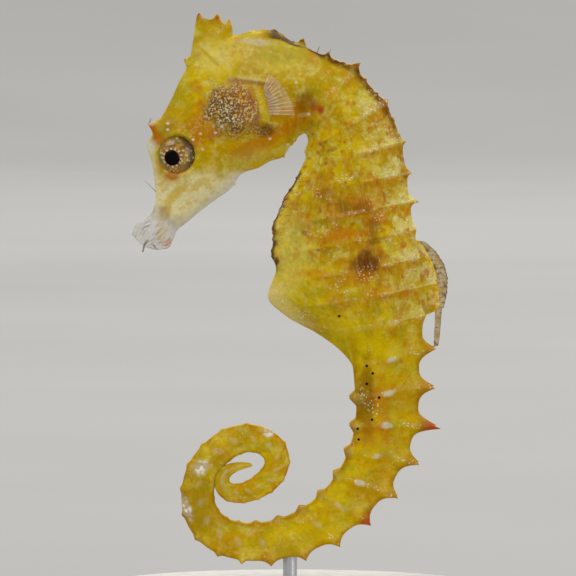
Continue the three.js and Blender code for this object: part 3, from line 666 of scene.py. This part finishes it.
def skin_finish():
    skin = Finish("seahorse_skin", Subsurface_Weight=0.4, Subsurface_Radius=(1.0, 0.6, 0.1),
                  Subsurface_Scale=0.6 * MM, IOR=1.36, Specular_IOR_Level=0.05)
    along, around, ring = skin.field("along"), skin.field("round"), skin.field("ring")
    crest, tip = skin.field("crest"), skin.field("tip")
    lay, rise, mix, patch, cells, noise = skin.lay, skin.rise, skin.mix, skin.patch, skin.cells, skin.noise
    blotch, sway, stretch, drawn_out = skin.blotch, skin.sway, skin.stretch, skin.drawn_out
    body = rise(along, 12, 15)
    trunk = body * rise(along, 25.5, 23.5)
    tail = rise(along, 24, 26)
    coil = rise(along, 34, 38)
    pouch = rise(around, 0.5, 0.66) * stretch(along, 20.4, 21.6, 25.5, 27)
    back_half = rise(around, 0.56, 0.3)
    flank = stretch(around, 0.16, 0.26, 0.6, 0.78)

    skin.colour = mix(blotch(0.4, 0.62, 0.6, 3), YELLOW, GOLD)
    lay(blotch(0.46, 0.64, 1.3, 4, 0.6) * 0.6, OLIVE)
    mottle = blotch(0.52, 0.68, 1.15, 5, 0.6)
    lay(mottle * (0.42 - pouch * 0.25 - tail * 0.15), AMBER)
    marble = blotch(0.47, 0.66, 2.2, 5, 0.62)
    lay(marble * (0.6 - pouch * 0.35 - tail * 0.42), LEMON)
    streaks = drawn_out(ring * 0.7, around * 7, 3, 0.6)
    lay(rise(streaks, 0.52, 0.68) * rise(along, 33, 38) * 0.35, LEMON)

    phase = ring.share() + sway(1.7, 1.5, 4, 0.6)
    plates = blotch(0.36, 0.5, 0.8, 2)
    pale = rise(phase, 0.2, 0.9) * back_half * plates * (trunk * 0.95).most(tail * 0.15)
    lay(pale, mix(marble, LEMON, CREAM))
    warm = rise(phase, 0.6, 0.0) * flank * (trunk * 0.4).most(tail * 0.15)
    lay(warm, AMBER)
    spots = blotch(0.54, 0.7, 1.7, 2, 0.4)
    lay(spots * (trunk * 0.4 + 0.25 - pouch * 0.45 - coil * 0.1), ORANGE)
    spots = blotch(0.56, 0.74, 3.1, 2, 0.4)
    lay(spots * (trunk * 0.45 + 0.2 - pouch * 0.4), RUST)
    skin.lay_patches(PATCHES, 1.1, 1.5)

    gill = patch(*GILL_COLOUR)
    lay(gill * 0.85, MAUVE)
    skin.lay_patches(GILL_PATCHES)

    muzzle = rise(skin.z + sway(1.6, 1.3, 4), 23.2, 22.0) * rise(skin.x, -1.9, -2.7)
    muzzle = muzzle * rise(along, 8, 7)
    lay(muzzle * 0.95, mix(blotch(0.5, 0.62, 1.7, 4, 0.6) * 0.55, SNOUT, STRAW))
    lay(rise(around, 0.7, 0.92) * muzzle * 0.7, CLEAR)
    glassy = rise(along + sway(1.6, 1.6, 3), 2.0, 0.6)
    lay(glassy * 0.9, CLEAR)
    wisps = rise(drawn_out(along * 1.1, around * 26, 3, 0.6), 0.55, 0.63) * glassy
    lay(wisps * 0.7, SMOKE)
    skin.lay_patches(FACE_PATCHES, 1.1, 1.2)

    keel = rise(around + sway(0.07, 2.4, 2), 0.945, 0.98) * stretch(along, 16.0, 16.5, 20.7, 21.3)
    lay(keel * 0.9, DARK_BROWN)
    bristles = rise(drawn_out(ring * 9, around * 9, 2, 0.5), 0.54, 0.64) * rise(around, 0.84, 0.95)
    lay(bristles * stretch(along, 15.8, 16.4, 18.2, 19.4) * 0.6, BROWN)
    nape = around - rise(along, 10, 12.6, 0.13, 0.25)
    nape = nape.most(nape * rise(along, 11.4, 12.3, -0.2, -2.4)) + sway(0.05, 2.4, 2)
    nape = rise(nape, 0.07, 0.02) * stretch(along, 10.0, 10.5, 14, 19)
    lay(nape * rise(noise(1.9, 3), 0.38, 0.5, 0.5, 0.95), mix(body, DARK_BROWN, BROWN))
    pouch_rim = rise(around, 0.86, 0.98) * stretch(along, 21.4, 22, 23.6, 24.6)
    lay(pouch_rim * 0.7, CREAM)
    crown = rise(skin.z + sway(0.3, 3, 2), 29.9, 30.5) * rise(skin.x, -2.5, -3)
    point = rise(tip, 0.2, 0.7)
    lay((crown * 0.6).most(crown * point * 0.9), mix(point, BROWN, BRICK))

    fibres = rise(drawn_out(ring * 2.2, around * 80, 3, 0.6), 0.5, 0.68)
    lay(fibres * trunk * 0.16, CREAM)
    line = rise(crest, 0.88, 0.99) * body * blotch(0.44, 0.56, 0.9, 3) * rise(around, 0.85, 0.45)
    line = line * (1 - coil * 0.9)
    lay(line * (0.26 - tail * 0.14), CREAM)
    knobs = rise(around, 0.58, 0.68) * rise(tip, 0.05, 0.3) * tail
    lay(knobs * 0.4, HORN)
    edges = ((around - 0.5).size() - 0.25).size()
    lay(rise(edges + sway(0.06, 2.2, 2), 0.07, 0.0) * tail * 0.45, BROWN)
    from_crest = ((ring + 0.5).share() - 0.5) * rise(along, 36, 42, 1.6, 0.9)
    from_side = (around - 0.5 + sway(0.12, 0.7, 1)) * rise(along, 26, 44, 4.2, 2.2)
    far = (from_crest * from_crest + from_side * from_side) ** 0.5 + sway(0.22, 3.2, 2)
    dots = rise(far, 0.22, 0.1) * tail * rise(along, 36, 33, 0.25, 1) * blotch(0.36, 0.46, 0.6, 2)
    lay(dots * 0.8, PEARL)
    red_tips = stretch(along, 28.6, 29.0, 29.8, 30.2).most(stretch(along, 33.3, 33.7, 34.4, 34.8))
    tips = rise(tip, 0.55, 0.95) * rise(around, 0.5, 0.4)
    lay(tips * (0.4 + red_tips * 0.55), mix(red_tips, RUST, RED))

    sparks = blotch(0.5, 0.58, 8, 3, 0.6)
    corner = patch(*GILL_CORNER)
    shown = gill * (blotch(0.36, 0.5, 1.8, 2) * 0.6 + 0.1) + corner * 0.5
    shown = shown.most(patch(*UNDER_GILL) * 0.35)
    fleck = mix(blotch(0.4, 0.55, 3.1, 1) * (0.35 + corner * 0.65), BRASS, PALE_GREEN)
    lay(sparks * shown, fleck)
    glints = rise(cells(7.2), 0.36, 0.2)
    where = (shown * 0.6).most(line * 0.9).most(pale * 0.6)
    where = where.most(blotch(0.56, 0.64, 1.1, 3) * (trunk * 0.4 + 0.2))
    for shape, share in GLINT_PATCHES:
        where = where.most(patch(*shape) * share)
    lay(glints * where * 0.75, WHITE)
    for x, z, wide, high in WHITE_CRUSTS:
        crust = patch(x, z, wide, high, 20, 1.2, 1.4)
        lay(crust * 0.6, GREY)
        lay(crust * blotch(0.5, 0.6, 5, 3) * 0.8, WHITE)
    for x, z in WHITE_DOTS:
        lay(patch(x, z, 0.07, 0.06, 0, 1.4) * 0.55, WHITE)
    for x, z in BLACK_DOTS:
        lay(patch(x, z, 0.07, 0.07, 0, 0.6) * rise(skin.y, -0.3, -0.45), BLACK)

    grain = noise(6, 4, 0.65)
    lay(0.2, mix(rise(grain, 0.3, 0.7), SHADE, LIGHT), "MULTIPLY")
    rough = 0.5 + sway(0.3, 3, 3)
    relief = noise(2.0, 4, 0.6) * 0.7 + cells(4.2) * 0.3
    alpha = 1 - glassy * (0.5 + noise(2.6, 3) * 0.4) * (1 - wisps * 0.6)
    return skin.cover(Roughness=rough, Alpha=alpha,
                      Normal=skin.bump(relief, 0.07, 0.6, skin.bump(grain, 0.02, 0.5)))


# -------- eyes

PUPIL = (-5.86, 23.465, 0.4)    # x, z, radius
PUPIL_DEPTH, PUPIL_SUNK = 0.12, 0.05
UMBER, OCHRE, LICHEN = rgb("664a12"), rgb("a67a16"), rgb("a89a2c")
LID_GREEN, LID_AMBER, EYE_EDGE_SHADE = rgb("6e6220"), rgb("9c660e"), rgb("46362c")
COPPER, ROSE, SAND = rgb("a05a34"), rgb("ecd9cc"), rgb("e0cf98")
INK, DARK_INK = rgb("0d0504"), rgb("040202")


def eye_finish():
    """A mottled iris with fine rays round the pupil, and a crescent of painted shade along its right side;
    the skin closes in over its edge.
    """
    eye = Finish("eye_iris", IOR=1.4, Coat_Weight=0.5, Coat_Roughness=0.08, Roughness=0.35,
                 Specular_IOR_Level=0.25)
    lay, rise, mix, noise, blotch = eye.lay, eye.rise, eye.mix, eye.noise, eye.blotch
    dx, dz = eye.x - PUPIL[0], eye.z - PUPIL[1]
    away = (dx * dx + dz * dz) ** 0.5
    eye.colour = mix(blotch(0.42, 0.6, 3.4, 4, 0.6), UMBER, OCHRE)
    lay(blotch(0.5, 0.62, 2.4, 4, 0.6) * 0.6, LICHEN)
    centre = beside(EYE["place"], EYE["up"], 0)
    out_x, out_z = eye.x - centre[0], eye.z - centre[2]
    out = (out_x * out_x + out_z * out_z) ** 0.5 + eye.sway(0.25, 2.6, 3)
    lid = mix(blotch(0.42, 0.6, 1.9, 4, 0.6), LID_GREEN, LID_AMBER)
    lid = mix(blotch(0.54, 0.64, 3.1, 4, 0.6) * 0.5, lid, CREAM)
    lay(rise(out, 0.52, 0.82) * 0.8, lid)
    # Painted shade: a dark taupe crescent over the eyeball's right side.
    painted_edge_shade = rise(out, 0.52, 0.74) * rise(out_x, 0.0, 0.45) * rise(out_z, -0.85, -0.4)
    lay(painted_edge_shade * 0.85, EYE_EDGE_SHADE)
    lay(rise(away, 0.54, 0.4) * 0.5, COPPER)
    rays = rise(eye.math("COSINE", eye.math("ARCTAN2", dz, dx) * 13 + noise(1.5, 2) * 4), 0.25, 0.85)
    lay(rays * eye.stretch(away, 0.37, 0.4, 0.46, 0.54) * 0.65, ROSE)
    flecks = rise(eye.cells(5.4), 0.36, 0.2) * rise(away, 0.42, 0.5) * blotch(0.44, 0.54, 2, 1)
    lay(flecks * 0.7, SAND)
    return eye.cover(Normal=eye.bump(noise(6, 3), 0.02, 0.3))


def pupil_finish():
    pupil = Finish("eye_pupil", IOR=1.35, Roughness=0.3, Specular_IOR_Level=0.1)
    pupil.colour = pupil.mix(pupil.noise(3, 2), DARK_INK, INK)
    return pupil.cover()


def make_ball(name, place, radius, depth, segments, ring_count):
    """A ball flattened from the side, its rings of faces closing on the sides that look out."""
    bpy.ops.mesh.primitive_uv_sphere_add(segments=segments, ring_count=ring_count, radius=1,
                                         location=place, rotation=(math.pi / 2, 0, 0))
    ball = bpy.context.object
    ball.name = name
    ball.scale = (radius, radius, depth)
    bpy.context.view_layer.update()
    return finish_piece(ball)


def make_eye(word, sign):
    """The eyeball, and the pupil as a small lens set in its front."""
    x, y, z = beside(EYE["place"], EYE["up"], sign * EYE["out"])
    away = math.hypot(PUPIL[0] - x, PUPIL[1] - z) / EYE["radius"]
    front = y - sign * (EYE["depth"] * math.sqrt(1 - away ** 2) - PUPIL_SUNK)
    return (make_ball(f"eyeball_{word}", (x, y, z), EYE["radius"], EYE["depth"], 96, 64),
            make_ball(f"pupil_{word}", (PUPIL[0], front, PUPIL[1]), PUPIL[2], PUPIL_DEPTH, 48, 24))


# -------- fins

# Feet and tips of rays spread over each fin, from its first ray to its last.
DORSAL_FEET = [(20.85, 2.35), (21.4, 2.55), (22.1, 2.76), (22.8, 2.8), (23.5, 2.8), (24.2, 2.72)]
DORSAL_TIPS = [(20.95, 2.66), (21.5, 3.1), (22.2, 3.4), (22.9, 3.45), (23.6, 3.3), (24.3, 3.0)]
LAST_RAY = [(24.1, 2.58, 2.96), (24.5, 2.52, 2.86), (25, 2.42, 2.74), (25.5, 2.32, 2.61), (25.95, 2.24, 2.47)]
FIN_ROOT = [(20.5, 1.6, 1.7), (20.9, 1.6, 2.42), (21.4, 1.6, 2.64), (22.1, 1.5, 2.86), (22.9, 1.4, 2.92),
            (23.6, 1.3, 2.9), (24.2, 1.3, 2.86), (24.4, 1.4, 2.5), (24.6, 1.4, 1.5)]
ROOT_HALF = 1.0           # how widely that root flares where it leaves the back
PECTORAL_FEET = [(-1.3, 26.9), (-1.25, 26.6), (-1.2, 26.3), (-1.1, 26.0), (-1.0, 25.65)]
PECTORAL_TIPS = [(-1.04, 27.66), (-0.62, 27.36), (-0.2, 26.85), (0.12, 26.22), (0.26, 25.6)]
PECTORAL_ROOT = 1.3        # how far out from the middle plane a pectoral fin's feet are
PECTORAL_FLARE = 0.18      # how much further out its margin stands, as a share of the way back
FIN_RAYS = 12
MEMBRANE = 0.05
FOLD_STEPS, REACH_STEPS = 6, 14    # faces of a web from one ray to the next, and from its foot to its margin
SCALLOP, RIPPLE = 0.02, 0.012      # how deep its margin dips between rays, and how far its folds stand out


def along_row(row, share):
    """The point at a share of the way down a row of points."""
    spot = share * (len(row) - 1)
    return [float(np.interp(spot, range(len(row)), column)) for column in zip(*row)]


def dorsal_point(share, reach):
    foot = beside(*along_row(DORSAL_FEET, share), 0)
    return foot + (beside(*along_row(DORSAL_TIPS, share), 0) - foot) * reach


def last_ray_point(share, reach):
    place, low, high = along_row(LAST_RAY, share)
    return beside(place, low + (high - low) * reach, 0)


def pectoral_point(sign, share, reach):
    (x0, z0), (x1, z1) = along_row(PECTORAL_FEET, share), along_row(PECTORAL_TIPS, share)
    x, z = x0 + (x1 - x0) * reach, z0 + (z1 - z0) * reach
    out = PECTORAL_ROOT + PECTORAL_FLARE * math.hypot(x - x0, z - z0)
    return np.array([x, -sign * out, z])


def make_fin_root(name):
    """A fleshy ridge, drawn out of a ball: each of its rings becomes one upright section of the ridge."""
    bpy.ops.mesh.primitive_uv_sphere_add(segments=40, ring_count=64, radius=1)
    ridge = bpy.context.object
    ridge.name = name
    low, high = (through([(row[0], row[k]) for row in FIN_ROOT]) for k in (1, 2))
    places, talls = [], []
    for vertex in ridge.data.vertices:
        share = math.acos(max(-1, min(1, -vertex.co.z))) / math.pi
        place = FIN_ROOT[0][0] + (FIN_ROOT[-1][0] - FIN_ROOT[0][0]) * share
        turn = math.atan2(vertex.co.y, vertex.co.x)
        tall = (1 + math.cos(turn)) / 2
        thick = ROOT_HALF * math.sin(turn) * (0.1 + (1 - tall) ** 1.6) * math.sin(math.pi * share) ** 0.5
        vertex.co = beside(place, low(place) + (high(place) - low(place)) * tall, thick)
        places.append(place)
        talls.append(tall)
    write_fields(ridge.data, {
        "along": places,
        "round": 0.3 - 0.2 * np.array(talls),
        "ring": np.interp(places, rings, np.arange(len(rings))),
        "crest": ring_crest(np.array(places)),
        "tip": np.zeros(len(places)),
    })
    return finish_piece(ridge)


def make_fin(name, point_of, rays, ray_foot=0.045, ray_tip=0.018):
    """A thin rippled web on tapered rays, one ray at each fold."""
    bpy.ops.mesh.primitive_grid_add(x_subdivisions=FOLD_STEPS * max(rays - 1, 4),
                                    y_subdivisions=REACH_STEPS, size=2)
    web = bpy.context.object
    web.name = name
    for vertex in web.data.vertices:
        share, reach = (vertex.co.x + 1) / 2, (vertex.co.y + 1) / 2
        folds = math.cos(2 * math.pi * share * (rays - 1))
        vertex.co = point_of(share, reach * (1 - SCALLOP * (1 - folds) * reach))
        vertex.co.y += RIPPLE * folds * reach
    solid = web.modifiers.new("web", "SOLIDIFY")
    solid.thickness = MEMBRANE
    solid.offset = 0
    bpy.ops.object.modifier_apply(modifier=solid.name)
    parts = [web]
    for i in range(rays):
        share = i / (rays - 1)
        foot, end = Vector(point_of(share, 0)), Vector(point_of(share, 1))
        run = end - foot
        bpy.ops.mesh.primitive_cone_add(
            vertices=10, radius1=ray_foot, radius2=ray_tip, depth=run.length, location=(foot + end) / 2,
            rotation=run.to_track_quat("Z", "Y").to_euler())
        parts.append(bpy.context.object)
    return web, parts[1:]


def finish_fin(name, web, rays, web_paint, ray_paint, slot, *nodes):
    """The web and the rays as two pieces, so that each has its own finish."""
    select_only(*rays)
    bpy.ops.object.join()
    rays[0].name = f"{name}_rays"
    keep_with(finish_piece(rays[0]), ray_paint, slot, *nodes)
    keep_with(finish_piece(web), web_paint, slot, *nodes)


FILM, SPECKLE, TAN = rgb("cfc6ae"), rgb("63461f"), rgb("a88a60")


def web_finish(name, tone, clear, speckle=0.0):
    """A thin clear film; a speckled one also darkens towards its margin."""
    web = Finish(name, Roughness=0.4, IOR=1.34, Specular_IOR_Level=0.15)
    reach = web.part_of(web.node("ShaderNodeUVMap", {}, {}), 1)
    web.colour = web.mix(web.blotch(0.4, 0.6, 3.2, 3) * 0.5, tone, FILM)
    spots = web.blotch(0.51, 0.64, 4.5, 3).most(web.rise(reach, 0.86, 0.96)) * speckle
    web.lay(spots * 0.8, SPECKLE)
    alpha = (web.blotch(0.35, 0.7, 2.6, 3) * 0.8 + 1) * clear + spots * 0.35
    return web.cover(Alpha=alpha, Normal=web.bump(web.noise(8, 2), 0.02, 0.4))


def ray_finish(name, tone, clear):
    ray = Finish(name, Roughness=0.45, IOR=1.34, Specular_IOR_Level=0.12)
    ray.colour = ray.mix(ray.blotch(0.45, 0.62, 4, 3) * 0.3, tone, TAN)
    alpha = (ray.noise(3, 2) + 0.6) * clear
    return ray.cover(Alpha=alpha, Normal=ray.bump(ray.noise(9, 2), 0.01, 0.3))


# -------- threads of skin

# Thickness at the root, and the line of each, x and z.
THREADS = {
    "snout_thread": (0.035, [(-6.6, 21.6), (-6.78, 21.8), (-6.98, 22.0), (-7.12, 22.15), (-7.28, 22.28)]),
    "chin_thread": (0.08, [(-7.12, 19.3), (-7.26, 19.08), (-7.32, 18.9), (-7.36, 18.7)]),
    "lip_thread": (0.06, [(-6.85, 19.08), (-6.72, 18.88), (-6.55, 18.8), (-6.4, 18.82)]),
    "brow_thread": (0.035, [(-6.96, 25.05), (-7.0, 25.2), (-6.98, 25.33), (-6.9, 25.42)]),
    "nape_thread_1": (0.04, [(1.28, 28.4), (1.36, 28.7), (1.47, 28.98)]),
    "nape_thread_2": (0.04, [(1.86, 28.2), (1.93, 28.55), (2.03, 28.84)]),
}


def make_thread(name, radius, line):
    bpy.ops.mesh.primitive_circle_add(vertices=8, radius=radius, location=(line[0][0], 0, line[0][1]))
    thread = bpy.context.object
    thread.name = name
    bpy.ops.object.mode_set(mode="EDIT")
    bpy.ops.mesh.select_all(action="SELECT")
    bpy.ops.mesh.edge_face_add()
    for (x0, z0), (x1, z1) in zip(line, line[1:]):
        bpy.ops.mesh.extrude_region_move(TRANSFORM_OT_translate={"value": (x1 - x0, 0, z1 - z0)})
        bpy.ops.transform.resize(value=(0.75, 0.75, 0.75), center_override=(x1, 0, z1))
    bpy.ops.object.mode_set(mode="OBJECT")
    face_outwards(thread)
    return finish_piece(thread)


ASH, BARK = rgb("a0988a"), rgb("5a5040")


def thread_finish():
    thread = Finish("skin_thread", Roughness=0.4)
    thread.colour = thread.mix(thread.noise(4, 2), ASH, BARK)
    return thread.cover()


# -------- stand

STONE, PALE_STONE, STONE_FLECK = rgb("cfccc5"), rgb("dedbd4"), rgb("a9a49a")
STEEL, PALE_STEEL = rgb("a8abaf"), rgb("c9ccd0")


def base_finish():
    base = Finish("stand_base_finish", IOR=1.45)
    base.colour = base.mix(base.blotch(0.35, 0.65, 1.4, 4), STONE, PALE_STONE)
    flecks = base.rise(base.cells(3.5), 0.24, 0.12) * base.blotch(0.45, 0.6, 0.8, 2)
    base.lay(flecks * 0.35, STONE_FLECK)
    return base.cover(Roughness=0.5 + base.noise(2.5, 3) * 0.15,
                      Normal=base.bump(base.noise(9, 3), 0.015, 0.4))


def rod_finish():
    rod = Finish("stand_rod_finish", Metallic=1.0)
    streaks = rod.node("ShaderNodeMapping", {}, {"Vector": rod.mm, "Scale": (10, 10, 0.4)})
    rod.colour = rod.mix(rod.noise(2, 3, 0.6, streaks), STEEL, PALE_STEEL)
    return rod.cover(Roughness=0.26 + rod.noise(3, 2, 0.5, streaks) * 0.16,
                     Normal=rod.bump(rod.noise(4, 2, 0.5, streaks), 0.01, 0.3))


# -------- the model

skin_paint, iris, pupil_paint = skin_finish(), eye_finish(), pupil_finish()
threads_paint = thread_finish()
dorsal_web = web_finish("dorsal_web_film", rgb("b69a5c"), 0.55, 1.0)
dorsal_rays = ray_finish("dorsal_ray", rgb("b89c64"), 0.45)
pectoral_web = web_finish("pectoral_web_film", rgb("f4ceac"), 0.08)
pectoral_rays = ray_finish("pectoral_ray", rgb("fae6cc"), 0.2)

flesh = ["snout", "head", "coronet", "neck", "trunk_upper", "trunk_middle", "trunk_lower", "brood_pouch"]
flesh += [f"tail_{i}" for i in range(1, 9)]
keep_with(make_skin(), skin_paint, "skin", *flesh)
for word, sign in (("left", 1), ("right", -1)):
    ball, pupil = make_eye(word, sign)
    keep_with(ball, iris, "eye", f"eye_{word}")
    keep_with(pupil, pupil_paint, "eye")
    fan = make_fin(f"pectoral_{word}", lambda share, reach, s=sign: pectoral_point(s, share, reach), FIN_RAYS)
    finish_fin(f"pectoral_{word}", *fan, pectoral_web, pectoral_rays, "fin", f"pectoral_fin_{word}")
for name, point_of, rays in (("dorsal", dorsal_point, 16), ("dorsal_last", last_ray_point, 2)):
    fin = make_fin(f"{name}_web", point_of, rays, 0.03, 0.02)
    finish_fin(name, *fin, dorsal_web, dorsal_rays, "fin", "dorsal_fin")
keep_with(make_fin_root("dorsal_root"), skin_paint, "skin", "dorsal_fin")
for name, (radius, line) in THREADS.items():
    keep_with(make_thread(name, radius, line), threads_paint, "skin")
for node, finish in (("stand_base", base_finish()), ("stand_rod", rod_finish())):
    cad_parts[node].data.materials.clear()
    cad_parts[node].data.materials.append(finish)

# -------- floor, lights and camera

FLOOR_REACH = 700
SWEEP, SWEEP_STEPS, WALL = 960, 32, 900    # the curve from floor to wall, in steps, and the wall over it
bpy.ops.mesh.primitive_plane_add(size=2 * FLOOR_REACH * MM, location=(0, 0, 0))
floor = bpy.context.object
floor.name = "floor"
bpy.ops.object.mode_set(mode="EDIT")
bpy.ops.mesh.select_all(action="DESELECT")
bpy.ops.object.mode_set(mode="OBJECT")
for edge in floor.data.edges:
    edge.select = all(floor.data.vertices[v].co.y > 0 for v in edge.vertices)
bpy.ops.object.mode_set(mode="EDIT")
bpy.ops.mesh.select_mode(type="EDGE")
for i in range(SWEEP_STEPS):
    angle, run = math.radians((i + 0.5) * 90 / SWEEP_STEPS), SWEEP / SWEEP_STEPS * MM
    bpy.ops.mesh.extrude_region_move(
        TRANSFORM_OT_translate={"value": (0, run * math.cos(angle), run * math.sin(angle))})
bpy.ops.mesh.extrude_region_move(TRANSFORM_OT_translate={"value": (0, 0, WALL * MM)})
bpy.ops.object.mode_set(mode="OBJECT")
bpy.ops.object.shade_smooth()
paper = Finish("backdrop_paper", Roughness=0.9)
paper.colour = paper.mix(paper.noise(0.02, 2), rgb("a6a4a0"), rgb("b0aeaa"))
floor.data.materials.append(paper.cover())


def add_light(name, place, aim, size, power, tone=(1, 1, 1)):
    light = bpy.data.lights.new(name, "AREA")
    light.shape, light.size, light.energy, light.color = "DISK", size * MM, power, tone
    lamp = bpy.data.objects.new(name, light)
    lamp.location = Vector(place) * MM
    lamp.rotation_euler = (Vector(aim) - Vector(place)).to_track_quat("-Z", "Y").to_euler()
    bpy.context.scene.collection.objects.link(lamp)


MIDDLE = (-0.1, 0, 16.9)
add_light("wall", (0, 500, 500), (0, 1500, 260), 500, 1.9)
add_light("key", (-300, -420, 620), MIDDLE, 420, 2.6)
add_light("fill", (480, -460, 160), MIDDLE, 420, 1.0)
add_light("back", (160, 420, 520), MIDDLE, 320, 2.4)

world = bpy.data.worlds.new("studio")
world.use_nodes = True
sky = world.node_tree.nodes["Background"]
sky.inputs["Color"].default_value = rgb("f4f5f7")
sky.inputs["Strength"].default_value = 0.62
bpy.context.scene.world = world
bpy.context.scene.view_settings.view_transform = "Standard"

FRAME_WIDTH = 28.8         # what the picture takes in at the animal's distance, mm
CAMERA_AWAY = 560
CAMERA_RISE = 2.5          # degrees
SENSOR = 36
camera_data = bpy.data.cameras.new("camera")
camera_data.sensor_fit = "HORIZONTAL"
camera_data.sensor_width = SENSOR
camera_data.lens = SENSOR * CAMERA_AWAY / FRAME_WIDTH
camera_data.clip_start, camera_data.clip_end = 0.01, 10
camera = bpy.data.objects.new("camera", camera_data)
lift = math.radians(CAMERA_RISE)
camera.location = (Vector(MIDDLE) + CAMERA_AWAY * Vector((0, -math.cos(lift), math.sin(lift)))) * MM
camera.rotation_euler = (math.pi / 2 - lift, 0, 0)
bpy.context.scene.collection.objects.link(camera)
bpy.context.scene.camera = camera
